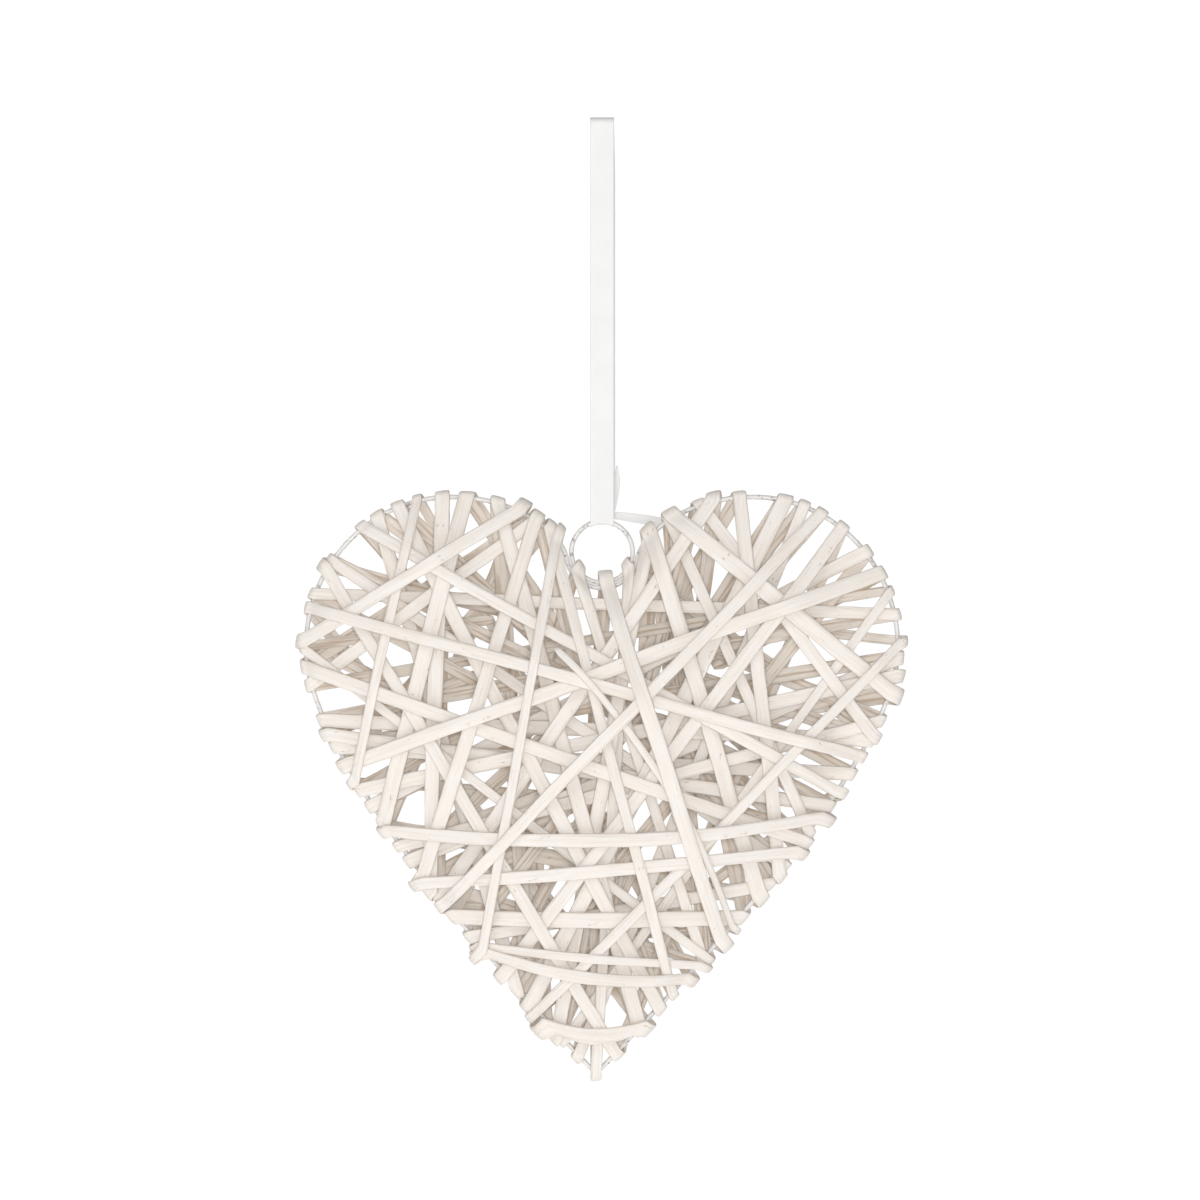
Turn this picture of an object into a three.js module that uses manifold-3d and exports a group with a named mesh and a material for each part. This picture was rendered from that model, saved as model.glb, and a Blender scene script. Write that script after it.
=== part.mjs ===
// A puffed heart of painted willow: split willow strips wound at random over a heart of bent wire, hung by a satin
// ribbon from a small wire ring. Millimetres, +Z up, the front faces -Y, and the origin is the inside top of the
// ribbon's loop, where it lies on its hook.
import * as THREE from "three";
import { mergeVertices } from "three/addons/utils/BufferGeometryUtils.js";
import Module from "manifold-3d";

const wasm = await Module();
wasm.setup();

// Wire heart
const WIRE = 2.4; // wire diameter
const LOBE_SPACING = 151; // between the tops of the two lobes
const HEART_WIDTH = 296; // across the lobes, between wire centres
const LOBE_RISE = 75.5; // from the widest level up to the lobe tops
const SIDE_DROP = 213; // from the widest level down to where the straight sides would meet
const SIDE_BELLY = 55.5; // how far down the sides stay upright before they turn in
const TIP_PULL = 75; // how far up from the tip the sides stay straight
const TIP_ANGLE = 47; // slope of the sides at the tip, in degrees
const TIP_BEND = 5; // radius of the wire's bend at the tip
const TIP_SHIFT = -3; // how far the tip stands off the middle
const WIRE_SIDES = 8;
const BEND_STEPS = 6; // of the wire's bend at the tip
const RING_STEPS = 24;
const NOTCH_STEPS = 4; // of half the wire's round notch
const LOOP_STEPS = 16; // of half the winding loop's round notch
const STATIONS = 100; // count of stations round the winding loop
const CURVE_STEPS = [8, 11, 18]; // of the wire from the notch to the lobe's top, the widest level and the tip

// Hanging ring
const RING_OUTER = 33; // outer diameter
const RING_TOP_DROP = 200.5; // from the hook down to the top of the ring
const RING_TO_WIDEST = 48; // from the ring's centre down to the widest level of the heart
const JOIN_ANGLE = -10; // where the wire's notch leaves the ring, from the ring's middle, in degrees
const NOTCH_PULL = 12; // how far it keeps its slope there
const LOBE_PULL = 34; // how far before the lobe's top the wire lies level

// Willow strips
const STRIP_WIDTH = 7;
const STRIP_THICK = 1.2;
const BEND_SLACK = 0.5; // how far a stiff strip stands off the wire in its turn
const GAP = 0.3; // clearance between pieces that touch
const FACET_ROOM = 0.3; // room for the flat facets of strips that cross
const SPRING = 0.015; // how far a strip springs up from the wire's plane, as a share of its length
const STEEPEST = 1.5; // slope that a strip can climb beside the wire
const TAIL_LENGTH = 95; // how far a strip's end reaches over the back
const TAIL_LEAN = 12; // how far to the side of the far side it points, in stations
const WIDEST_TURN = 62; // most oblique way round the wire, in degrees
const TURN_DRIFT = 0.5; // share of a free strip's drift along the wire that its turn takes up
const TURN_FACETS = 3; // flat facets of a strip's half turn round the wire
const SHORTEST_BACK = 110; // a strip's way over the back is longer than this where it can be
const BELOW_RING = 22; // a strip's way over the back keeps this far below the ring where it can
const NEAR_START = 0.1; // share of a tail's length over which it may lie near the ring
const SLANTING = 55; // a way over the back meets the wire less obliquely than this where it can, in degrees
const COSTS = { slanting: 5, short: 6, outside: 20 }; // of a way over the back that can't keep to these
const SHORTEST_FACET = 12; // along a strip over the front or back
const FACET_RISE = 0.5; // most that a joined facet may stand over the ones it replaces
const SAMPLE = 1.2; // along a strip, between the places where it is set over the ones below
const TANGENT_REACH = 1.5; // along the loop to both sides, for its direction at a point
const BOW_SHARES = [0.2, 0.4, 0.6, 0.8]; // of the way, where a bowed strip has a section
const MOST_TWIST = 0.8; // a straight strip whose ends lean apart by more has a section half way
const NEAR_SECTION = 0.06; // share of the way within which another section serves
const BLEND_ANGLE = 20; // over which the winding loop passes from both wires to the heart's, in degrees

// Ribbon
const RIBBON_WIDTH = 12;
const RIBBON_THICK = 0.8;
const HOOK_RADIUS = 3; // inside radius of the loop's top
const KNOT_HEIGHT = 6;
const UP_TAIL_LENGTH = 23;
const UP_TAIL_WIDTH = 3.6;
const SIDE_TAIL_REACH = 34; // from the middle to the end of the tail behind the right lobe
const SIDE_TAIL_START = 5; // its width at the knot
const SIDE_TAIL_WIDTH = 6; // its width at its end
const SIDE_TAIL_DROP = 4;
const TAIL_INSET = 1; // from the ribbon's edge to where both tails leave the knot

const RING_R = (RING_OUTER - WIRE) / 2;
const RING_Z = -RING_TOP_DROP - RING_OUTER / 2;
const WIDEST_Z = RING_Z - RING_TO_WIDEST;
const LAYER = STRIP_THICK + GAP; // from one strip to the next over it
const NOTCH_R = RING_R + WIRE + GAP; // the heart's wire runs close round the ring
const LASH_R = (RING_R + NOTCH_R) / 2; // strips are wound round both there
const HALF_FACET = Math.PI / TURN_FACETS / 2;
const FIRST_TURN = (WIRE / 2 + GAP) / Math.cos(HALF_FACET) + STRIP_THICK / 2 + BEND_SLACK; // round the bare wire
const RING_TURN = (WIRE + GAP * 1.5) / Math.cos(HALF_FACET) + STRIP_THICK / 2; // round the wire and the ring together
const rad = THREE.MathUtils.degToRad;
const { clamp, lerp, smoothstep } = THREE.MathUtils;
const xz = (x, z) => new THREE.Vector2(x, z);

// Where each strip crosses the front. Stations count per cent of the wire's length from the bottom of the ring, down
// the left side to the tip at 50 and up the right side. Each row is one strip from the lowest up: the stations and
// width of its first pass over the front, then of its second, how far either bows sideways, and where an open strip's
// end lies on its first way. Widths and bows are in strip widths.
const WINDINGS = [
  [13.8, 43.5, 1, 31.3, 83.2, 1],
  [70.7, 27.7, 1, 77.3, 34.9, 1],
  [48.4, 87.4, 0.86, 63.3, 39.8, 0.93],
  [26.1, 72.8, 1, 19.2, 79.6, 0.86],
  [26.8, 68.6, 1, 17.2, 64.7, 0.86],
  [74, 33.9, 0.93, 76.3, 30.3, 1],
  [24.1, 4.8, 0.93, 81, 47.4, 0.71],
  [98.1, 50, 0.79, 93, 73, 0.93],
  [1.7, 58.1, 0.79, 94.9, 66.9, 0.86],
  [96.3, 46.9, 1, 22.3, 58.5, 0.71],
  [7.3, 53.2, 1.07, 88.5, 44.5, 1.14],
  [92.2, 37.3, 1, 10.3, 36.5, 1.07],
  [12.7, 54.7, 1, 90.9, 64.1, 1],
  [94.5, 75.3, 1.21, 38.7, 61.4, 1.14],
  [8.8, 32.3, 1.14, 96.1, 62.4, 1.14],
  [85.1, 42.5, 1, 17.8, 51.7, 0.93],
  [23.2, 66.4, 1, 5.3, 35.9, 1],
  [14.9, 69.5, 0.86, 78, 45.3, 0.74],
  [36.3, 65.8, 0.93, 40.7, 57.8, 0.64],
  [4.1, 55.7, 0.77, 28.6, 82, 1.07],
  [11.7, 29.9, 0.71, 41.1, 57, 0.9, 0, -0.7],
  [6.2, 21.9, 0.97, 32.6, 67.8, 0.97, 0, -1],
  [20, 71.7, 0.9, 46.2, 53.5, 1.2, 0, -0.6],
  [9.3, 60.4, 0.54, 3.6, 41.1, 0.71, 1.5, 0, 0.35],
  [86.4, 37.7, 0.9, 99.74, 59.3, 1.06],
];

// Right half of the loop that the strips are wound on, in the wire's plane: between the ring and the wire round it,
// then along the wire
function rightHalf(tipShift) {
  const blendFrom = rad(JOIN_ANGLE - BLEND_ANGLE);
  const radiusAt = (angle) => lerp(LASH_R, NOTCH_R, smoothstep(angle, blendFrom, rad(JOIN_ANGLE)));
  return notchArc(LOOP_STEPS, radiusAt).concat(rightWire(tipShift));
}

// Right half of a round line below the ring, from its bottom to where the wire leaves it
function notchArc(steps, radiusAt) {
  return Array.from({ length: steps }, (_, i) => {
    const angle = lerp(rad(-90), rad(JOIN_ANGLE), i / steps);
    const radius = radiusAt(angle);
    return xz(radius * Math.cos(angle), RING_Z + radius * Math.sin(angle));
  });
}

// Right half of the heart's wire, from where it leaves the ring to the tip
function rightWire(tipShift) {
  const join = xz(NOTCH_R * Math.cos(rad(JOIN_ANGLE)), RING_Z + NOTCH_R * Math.sin(rad(JOIN_ANGLE)));
  const slope = rad(90 + JOIN_ANGLE);
  const lobe = xz(LOBE_SPACING / 2, WIDEST_Z + LOBE_RISE);
  const side = xz(HEART_WIDTH / 2, WIDEST_Z);
  const tip = xz(tipShift, WIDEST_Z - SIDE_DROP);
  const tipSlope = rad(TIP_ANGLE);
  const round = 0.5523; // handle of a quarter of an ellipse
  const leave = xz(join.x + NOTCH_PULL * Math.cos(slope), join.y + NOTCH_PULL * Math.sin(slope));
  const curves = [
    [join, leave, xz(lobe.x - LOBE_PULL, lobe.y), lobe],
    [lobe, xz(lobe.x + round * (side.x - lobe.x), lobe.y), xz(side.x, side.y + round * LOBE_RISE), side],
    [side, xz(side.x, side.y - SIDE_BELLY),
      xz(tip.x + TIP_PULL * Math.cos(tipSlope), tip.y + TIP_PULL * Math.sin(tipSlope)), tip],
  ].map((handles) => new THREE.CubicBezierCurve(...handles));
  const points = curves.flatMap((curve, i) => curve.getPoints(CURVE_STEPS[i]).slice(0, -1));
  return [...points, tip];
}

const mirror = (points) => points.map((p) => xz(-p.x, p.y));

// The closed winding loop with its running length
const LOOP = [...mirror(rightHalf(-TIP_SHIFT)), ...rightHalf(TIP_SHIFT).reverse().slice(1)];
const RUN = [0];
for (let i = 1; i < LOOP.length; i += 1) {
  RUN.push(RUN[i - 1] + LOOP[i].distanceTo(LOOP[i - 1]));
}
const LOOP_LENGTH = RUN[RUN.length - 1];
const STATION = LOOP_LENGTH / STATIONS; // millimetres in one station
const HALF_WAY = STATIONS / 2;

// Point of the loop at a station
function loopPoint(station) {
  const run = (((station % STATIONS) + STATIONS) % STATIONS) * STATION;
  let i = RUN.findIndex((length) => length > run);
  i = i < 1 ? LOOP.length - 1 : i;
  const share = (run - RUN[i - 1]) / (RUN[i] - RUN[i - 1]);
  return LOOP[i - 1].clone().lerp(LOOP[i], share);
}

// Point, tangent and outward normal of the loop at a station
function loopAt(station) {
  const step = TANGENT_REACH / STATION;
  const along = loopPoint(station + step).sub(loopPoint(station - step)).normalize();
  return { point: loopPoint(station), along, out: xz(along.y, -along.x) };
}

// Stations where the heart's wire leaves the ring and of the tip, and a turn's way past them. A turn half way round
// stands under the wire's bend at the tip.
const JOIN_STATION = RUN[LOOP_STEPS] / STATION;
const TIP_STATION = RUN[(LOOP.length - 1) / 2] / STATION;

function clearOfCorners(station, halfExtent) {
  if (station === HALF_WAY) {
    return TIP_STATION;
  }
  const pastJoin = WIRE + GAP;
  const pastTip = TIP_BEND * Math.tan(rad(TIP_ANGLE));
  const corners = [[JOIN_STATION, pastJoin], [STATIONS - JOIN_STATION, pastJoin], [TIP_STATION, pastTip]];
  for (const [corner, free] of corners) {
    const room = (halfExtent + free) / STATION;
    const off = station - corner;
    if (Math.abs(off) < room) {
      return corner + room * Math.sign(off);
    }
  }
  return station;
}

const onRing = (station) => station < JOIN_STATION || station > STATIONS - JOIN_STATION;
const firstTurn = (station) => (onRing(station) ? RING_TURN : FIRST_TURN);

// How obliquely a pass from one plan point to a station meets the wire there: tangent and half extent along the wire
function meeting(station, from, width) {
  const { point, along, out } = loopAt(station);
  const heading = point.clone().sub(from).normalize();
  const most = rad(WIDEST_TURN);
  const angle = clamp(Math.atan2(heading.dot(along), Math.max(heading.dot(out), 0)), -most, most);
  return { angle, extent: width / 2 / Math.cos(angle) };
}

// Parts of strips already wound, by side
const wound = [];
const turns = [];

// A pass over the front (side 1) or the back (side -1). Its sections lie along the wire at both ends and turn evenly
// between them, so that a point of it is (share of the way, distance across).
function makePass(side, start, end, startCross, endCross, startWidth, endWidth, bow) {
  const heading = end.clone().sub(start);
  const length = heading.length();
  heading.normalize();
  const across = xz(-heading.y, heading.x);
  const skew = (cross) => (cross ? cross.dot(heading) / cross.dot(across) : 0);
  const limit = Math.tan(rad(WIDEST_TURN));
  return {
    side, start, heading, across, length, bow,
    widths: [startWidth, endWidth],
    skews: [clamp(skew(startCross), -limit, limit), clamp(skew(endCross), -limit, limit)],
    needs: [],
    profile: [],
  };
}

const passWidth = (pass, share) => lerp(pass.widths[0], pass.widths[1], clamp(share, 0, 1));
const passBow = (pass, share) => pass.bow * 4 * share * (1 - share);

function planPoint(pass, share, offset) {
  const run = pass.length * share + offset * lerp(pass.skews[0], pass.skews[1], share);
  return pass.start.clone()
    .addScaledVector(pass.heading, run)
    .addScaledVector(pass.across, offset + passBow(pass, share));
}

// Share of the way and distance across of a plan point on a pass
function passShare(pass, point) {
  const local = point.clone().sub(pass.start);
  const run = local.dot(pass.heading);
  const sideways = local.dot(pass.across);
  let share = clamp(run / pass.length, 0, 1);
  let offset = 0;
  for (let i = 0; i < 3; i += 1) {
    offset = sideways - passBow(pass, clamp(share, 0, 1));
    const skewed = pass.length + offset * (pass.skews[1] - pass.skews[0]);
    share = (run - offset * pass.skews[0]) / skewed;
  }
  return { share, offset };
}

// Height of a pass's middle above the wire's plane
function heightAt(pass, share) {
  const spot = clamp(share, 0, 1);
  const profile = pass.profile;
  for (let i = 1; i < profile.length; i += 1) {
    if (spot <= profile[i][0]) {
      const part = (spot - profile[i - 1][0]) / Math.max(profile[i][0] - profile[i - 1][0], 1e-9);
      return lerp(profile[i - 1][1], profile[i][1], part);
    }
  }
  return profile[profile.length - 1][1];
}

// Least heights of a pass over everything already wound on its side
function findNeeds(pass) {
  const below = wound.filter((other) => other.side === pass.side);
  const steps = Math.ceil(pass.length / SAMPLE);
  const pastWire = FIRST_TURN + STRIP_THICK;
  for (let i = 0; i <= steps; i += 1) {
    const share = i / steps;
    let need = 0;
    for (let j = -2; j <= 2; j += 1) {
      const point = planPoint(pass, share, (passWidth(pass, share) * j) / 4);
      for (const other of below) {
        const spot = passShare(other, point);
        const past = pastWire / other.length;
        const reach = passWidth(other, spot.share) / 2 + GAP * 2;
        if (Math.abs(spot.offset) < reach && spot.share > -past && spot.share < 1 + past) {
          need = Math.max(need, heightAt(other, spot.share) + LAYER + FACET_ROOM);
        }
      }
    }
    if (need > 0) {
      pass.needs.push([share, need]);
    }
  }
}

// Radius of a turn round the wire, over the turns and passes that are there already. Turns on the ring stand inside
// it, where they crowd together.
function turnRadius(turn, passes) {
  let radius = firstTurn(turn.stations[0]);
  for (const other of turns) {
    for (let i = 0; i <= TURN_FACETS; i += 1) {
      const between = Math.abs(other.stations[i] - turn.stations[i]);
      const apart = Math.min(between, STATIONS - between) * STATION;
      const crowding = onRing(turn.stations[i]) ? 1 / (1 - (other.radius + STRIP_THICK / 2) / LASH_R) : 1;
      if (apart < (other.extents[i] + turn.extents[i]) * crowding + GAP * 2) {
        radius = Math.max(radius, other.radius + LAYER);
      }
    }
  }
  for (const [pass, atEnd] of passes) {
    for (const [share, need] of pass.needs) {
      const away = (atEnd ? 1 - share : share) * pass.length;
      radius = Math.max(radius, need - STEEPEST * away);
    }
  }
  return radius;
}

// Taut line over the least heights: the upper hull of the ends, the strip's own spring and what it crosses
function drawTaut(pass, startLevel, endLevel) {
  const rise = SPRING * pass.length;
  const points = [[0, startLevel], ...pass.needs, [1, endLevel]];
  for (const share of [0.25, 0.5, 0.75]) {
    points.push([share, lerp(startLevel, endLevel, share) + rise * 4 * share * (1 - share)]);
  }
  points.sort((a, b) => a[0] - b[0] || a[1] - b[1]);
  const hull = [];
  for (const point of points) {
    while (hull.length > 1) {
      const [a, b] = hull.slice(-2);
      if ((b[0] - a[0]) * (point[1] - a[1]) - (b[1] - a[1]) * (point[0] - a[0]) < -1e-9) {
        break;
      }
      hull.pop();
    }
    hull.push(point);
  }
  pass.profile = joinShortFacets(hull, pass.length);
}

// Replaces a short facet of a taut line by the point over it where its neighbours meet
function joinShortFacets(hull, length) {
  let i = 1;
  while (i + 2 < hull.length) {
    const [a, b, c, d] = hull.slice(i - 1, i + 3);
    const before = (b[1] - a[1]) / (b[0] - a[0]);
    const after = (d[1] - c[1]) / (d[0] - c[0]);
    const share = (c[1] - b[1] + before * b[0] - after * c[0]) / (before - after);
    const height = b[1] + before * (share - b[0]);
    const over = height - lerp(b[1], c[1], (share - b[0]) / (c[0] - b[0]));
    if ((c[0] - b[0]) * length < SHORTEST_FACET && over < FACET_RISE) {
      hull.splice(i, 2, [share, height]);
      i = Math.max(1, i - 1);
    } else {
      i += 1;
    }
  }
  return hull;
}

// The strip's end that is tucked in on the back: from a station towards the far side of the loop, leaning on the way
// that the strip came
function tailEnd(station, from) {
  const point = loopPoint(station);
  const { angle } = meeting(station, from, 1);
  const lean = clamp(Math.tan(angle), -1, 1);
  const ends = [lean, 0, -lean, -2 * lean].map((way) => {
    const heading = loopPoint(station + HALF_WAY - TAIL_LEAN * way).sub(point).normalize();
    return point.clone().addScaledVector(heading, TAIL_LENGTH);
  });
  return ends.find((end) => clearsRing(point, end)) ?? ends[1];
}

// Whether a straight way passes the ring at a distance, unless it starts on it
function clearsRing(start, end) {
  const ring = xz(0, RING_Z);
  const heading = end.clone().sub(start);
  const nearest = clamp(ring.clone().sub(start).dot(heading) / heading.lengthSq(), 0, 1);
  const apart = start.clone().addScaledVector(heading, nearest).distanceTo(ring);
  return nearest < NEAR_START || apart > RING_R + BELOW_RING;
}

// Whether a straight pass between two stations stays inside the heart, under the notch
function staysInside(first, last) {
  const a = loopPoint(first);
  const b = loopPoint(last);
  if (a.x * b.x > 0) {
    return true;
  }
  const level = lerp(a.y, b.y, a.x / (a.x - b.x));
  return level < RING_Z - RING_R - BELOW_RING;
}

// Which end of each front pass leads to the back pass between them: the way with the gentlest turns. An open strip
// keeps its first pass's way.
function bestWay([a, b], [c, d], open) {
  let best = null;
  for (const [one, two] of open ? [[a, b]] : [[a, b], [b, a]]) {
    for (const [three, four] of [[c, d], [d, c]]) {
      const [into, leaving] = [meeting(two, loopPoint(one), 1).angle, meeting(two, loopPoint(three), 1).angle];
      const [back, again] = [meeting(three, loopPoint(two), 1).angle, meeting(three, loopPoint(four), 1).angle];
      const bend = Math.abs(into + leaving) + Math.abs(back + again);
      const slanting = Math.max(Math.abs(leaving), Math.abs(back)) > rad(SLANTING) ? COSTS.slanting : 0;
      const short = loopPoint(two).distanceTo(loopPoint(three)) < SHORTEST_BACK ? COSTS.short : 0;
      const cost = bend + slanting + short + (staysInside(two, three) ? 0 : COSTS.outside);
      if (!best || cost < best.cost) {
        best = { cost, stations: [one, two, three, four], flip: [one !== a, three !== c] };
      }
    }
  }
  return best;
}

// Turn round the wire from one side to the other: its middle stations, half extents and radius
function planTurn(station, from, to, width) {
  const arrive = meeting(station, from, width);
  const leave = meeting(station, to, width);
  const drift = (Math.tan(arrive.angle) - Math.tan(leave.angle)) / 2;
  const shift = clamp(Math.PI * FIRST_TURN * drift * TURN_DRIFT, -width / 2, width / 2) / STATION;
  const turn = { stations: [], extents: [], radius: firstTurn(station) };
  for (let i = 0; i <= TURN_FACETS; i += 1) {
    const share = i / TURN_FACETS;
    turn.stations.push(station + shift * share);
    turn.extents.push(lerp(arrive.extent, leave.extent, share));
  }
  return turn;
}

// Lays one strip: tail, front, back, front, tail, with a turn between each two. An open strip has no first tail: its
// end is tucked in on the front, a share of the first way from its start.
function windStrip(row) {
  const [a, b, firstWidth, c, d, lastWidth, firstBow = 0, lastBow = 0, open = 0] = row;
  const { stations, flip } = bestWay([a, b], [c, d], open);
  const widths = [firstWidth, firstWidth, lastWidth, lastWidth].map((width) => width * STRIP_WIDTH);
  const neighbours = [1, 0, 3, 2];
  const held = stations.map((station, i) => {
    const from = loopPoint(stations[neighbours[i]]);
    return clearOfCorners(station, meeting(station, from, widths[i]).extent);
  });
  const tails = [tailEnd(held[0], loopPoint(held[1])), tailEnd(held[3], loopPoint(held[2]))];
  const stops = [tails[0], ...held.map(loopPoint), tails[1]];
  const bends = held.map((station, i) => planTurn(station, stops[i], stops[i + 2], widths[i]));
  const bows = [0, firstBow * (flip[0] ? -1 : 1), 0, lastBow * (flip[1] ? -1 : 1), 0];
  const passes = [];
  const firstPass = open ? 1 : 0;
  if (open) {
    tails[0] = stops[1].clone().lerp(stops[2], open);
  }
  for (let i = firstPass; i < 5; i += 1) {
    const side = i % 2 ? 1 : -1;
    const from = i > firstPass ? loopAt(bends[i - 1].stations[TURN_FACETS]) : null;
    const to = i < 4 ? loopAt(bends[i].stations[0]) : null;
    const pass = makePass(side, from ? from.point : tails[0], to ? to.point : tails[1],
      from && from.along, to && to.along, widths[Math.max(i - 1, 0)], widths[Math.min(i, 3)], bows[i] * STRIP_WIDTH);
    findNeeds(pass);
    passes[i] = pass;
    if (i > firstPass) {
      const turn = bends[i - 1];
      turn.radius = turnRadius(turn, [[passes[i - 1], true], [pass, false]]);
      if (onRing(turn.stations[0])) {
        turn.radius += Math.max(...turn.extents) ** 2 / 2 / LASH_R;
      }
      turns.push(turn);
      finishPass(passes[i - 1], i - 1 > firstPass ? bends[i - 2].radius : null, turn.radius);
    }
  }
  finishPass(passes[4], bends[3].radius, null);
  return { passes, bends };
}

// A free end lies on what is under it
function finishPass(pass, startLevel, endLevel) {
  const atStart = startLevel ?? Math.max(endLevel, ...pass.needs.slice(0, 1).map((need) => need[1]));
  const atEnd = endLevel ?? Math.max(startLevel, ...pass.needs.slice(-1).map((need) => need[1]));
  drawTaut(pass, atStart, atEnd);
  wound.push(pass);
}

// Closed body through sections of as many corners each, capped at both ends or joined to a loop
function skin(sections, joined = false) {
  const positions = sections.flat().flatMap((v) => [v.x, v.y, v.z]);
  const index = [];
  const sides = sections[0].length;
  for (let i = 0; i < (joined ? sections.length : sections.length - 1); i += 1) {
    const next = ((i + 1) % sections.length) * sides;
    for (let j = 0; j < sides; j += 1) {
      const k = (j + 1) % sides;
      index.push(i * sides + j, i * sides + k, next + k, i * sides + j, next + k, next + j);
    }
  }
  const last = (sections.length - 1) * sides;
  for (let j = 1; !joined && j + 1 < sides; j += 1) {
    index.push(0, j + 1, j, last, last + j, last + j + 1);
  }
  const geometry = new THREE.BufferGeometry();
  geometry.setAttribute("position", new THREE.Float32BufferAttribute(positions, 3));
  geometry.setIndex(volume(positions, index) < 0 ? index.reverse() : index);
  return geometry;
}

function volume(positions, index) {
  let sum = 0;
  const corner = (i) => new THREE.Vector3(...positions.slice(i * 3, i * 3 + 3));
  for (let i = 0; i < index.length; i += 3) {
    sum += corner(index[i]).dot(corner(index[i + 1]).cross(corner(index[i + 2])));
  }
  return sum;
}

// One section: its middle in the wire's plane, half vector across, height, and the direction of its thickness
function section(middle, half, depth, outward) {
  const thick = outward.clone().multiplyScalar(STRIP_THICK / 2);
  const centre = new THREE.Vector3(middle.x, depth, middle.y);
  const across = new THREE.Vector3(half.x, 0, half.y);
  return [
    centre.clone().add(across).add(thick),
    centre.clone().sub(across).add(thick),
    centre.clone().sub(across).sub(thick),
    centre.clone().add(across).sub(thick),
  ];
}

// Sections of a pass where its taut line bends, and more where it bows or its sections turn
function passSections(pass) {
  const twisted = Math.abs(pass.skews[1] - pass.skews[0]) > MOST_TWIST;
  const extra = pass.bow ? BOW_SHARES : twisted ? [0.5] : [];
  const shares = [...pass.profile.map((point) => point[0])];
  for (const share of extra) {
    if (shares.every((other) => Math.abs(other - share) > NEAR_SECTION)) {
      shares.push(share);
    }
  }
  shares.sort((a, b) => a - b);
  const outward = new THREE.Vector3(0, -pass.side, 0);
  return shares.map((share) => {
    const width = passWidth(pass, share) / 2;
    const left = planPoint(pass, share, width);
    const right = planPoint(pass, share, -width);
    const half = left.clone().sub(right).multiplyScalar(pass.side / 2);
    return section(left.add(right).multiplyScalar(0.5), half, -pass.side * heightAt(pass, share), outward);
  });
}

// Sections of a turn between its two ends
function turnSections(turn, toBack, lead) {
  const list = [];
  for (let i = 1; i < TURN_FACETS; i += 1) {
    const { point, along, out } = loopAt(turn.stations[i]);
    const angle = (Math.PI * i) / TURN_FACETS;
    const outward = new THREE.Vector3(
      out.x * Math.sin(angle), (toBack ? -1 : 1) * Math.cos(angle), out.y * Math.sin(angle));
    const middle = point.clone().addScaledVector(out, turn.radius * Math.sin(angle));
    const sign = Math.sign(along.x * lead.x + along.y * lead.z);
    const half = along.clone().multiplyScalar(turn.extents[i] * sign);
    list.push(section(middle, half, turn.radius * outward.y, outward));
  }
  return list;
}

function stripGeometry({ passes, bends }) {
  const sections = [];
  passes.forEach((pass, i) => {
    sections.push(...passSections(pass));
    if (i < bends.length) {
      const [left, right] = sections[sections.length - 1];
      sections.push(...turnSections(bends[i], i % 2 === 1, left.clone().sub(right)));
    }
  });
  return skin(sections);
}

// Round wire along a closed line of points in the wire's plane
function wireGeometry(points) {
  const sections = points.map((point, i) => {
    const before = points.at(i - 1);
    const after = points[(i + 1) % points.length];
    const along = after.clone().sub(before).normalize();
    const out = xz(along.y, -along.x);
    return Array.from({ length: WIRE_SIDES }, (_, j) => {
      const angle = (2 * Math.PI * j) / WIRE_SIDES;
      const away = (WIRE / 2) * Math.cos(angle);
      return new THREE.Vector3(point.x + out.x * away, (WIRE / 2) * Math.sin(angle), point.y + out.y * away);
    });
  });
  return skin(sections, true);
}

// The heart's wire from the bottom of its notch round by the right side, with a bend at the tip
function heartWire() {
  const straight = TIP_BEND * Math.tan(rad(TIP_ANGLE));
  const half = (tipShift) => {
    const line = [...notchArc(NOTCH_STEPS, () => NOTCH_R), ...rightWire(tipShift)];
    return line.filter((point) => point.distanceTo(line[line.length - 1]) > straight * 1.5);
  };
  const tip = rightWire(TIP_SHIFT).pop();
  const centre = xz(tip.x, tip.y + TIP_BEND / Math.cos(rad(TIP_ANGLE)));
  const bend = [];
  for (let i = 0; i <= BEND_STEPS; i += 1) {
    const angle = rad(-90) + rad(TIP_ANGLE) * (1 - (2 * i) / BEND_STEPS);
    bend.push(xz(centre.x + TIP_BEND * Math.cos(angle), centre.y + TIP_BEND * Math.sin(angle)));
  }
  return wireGeometry([...half(TIP_SHIFT), ...bend, ...mirror(half(-TIP_SHIFT)).reverse().slice(0, -1)]);
}

const ringGeometry = () => new THREE.TorusGeometry(RING_R, WIRE / 2, WIRE_SIDES, RING_STEPS).rotateX(Math.PI / 2);

function solid(geometry) {
  const bare = geometry.clone();
  bare.deleteAttribute("normal");
  bare.deleteAttribute("uv");
  const merged = mergeVertices(bare, 1e-4);
  return new wasm.Manifold(new wasm.Mesh({
    numProp: 3,
    vertProperties: new Float32Array(merged.attributes.position.array),
    triVerts: new Uint32Array(merged.index.array),
  }));
}

function fused(geometries) {
  const mesh = geometries.map(solid).reduce((sum, body) => sum.add(body)).getMesh();
  const geometry = new THREE.BufferGeometry();
  geometry.setAttribute("position", new THREE.Float32BufferAttribute(mesh.vertProperties, 3));
  geometry.setIndex(Array.from(mesh.triVerts));
  return geometry;
}

// The ribbon's loop seen from its side: round over the hook, round under the ring's top
function loopOutline(offset) {
  const narrow = WIRE / 2 + GAP;
  const curve = (RIBBON_WIDTH / 2) ** 2 / 2 / RING_R; // how far the ring falls across the ribbon's width
  const bottom = -RING_TOP_DROP - WIRE - curve - GAP * 2 + narrow;
  const outline = new THREE.Path();
  outline.absarc(0, -HOOK_RADIUS, HOOK_RADIUS + offset, 0, Math.PI, false);
  outline.absarc(0, bottom, narrow + offset, Math.PI, 2 * Math.PI, false);
  outline.closePath();
  return outline.getPoints(5);
}

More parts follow.
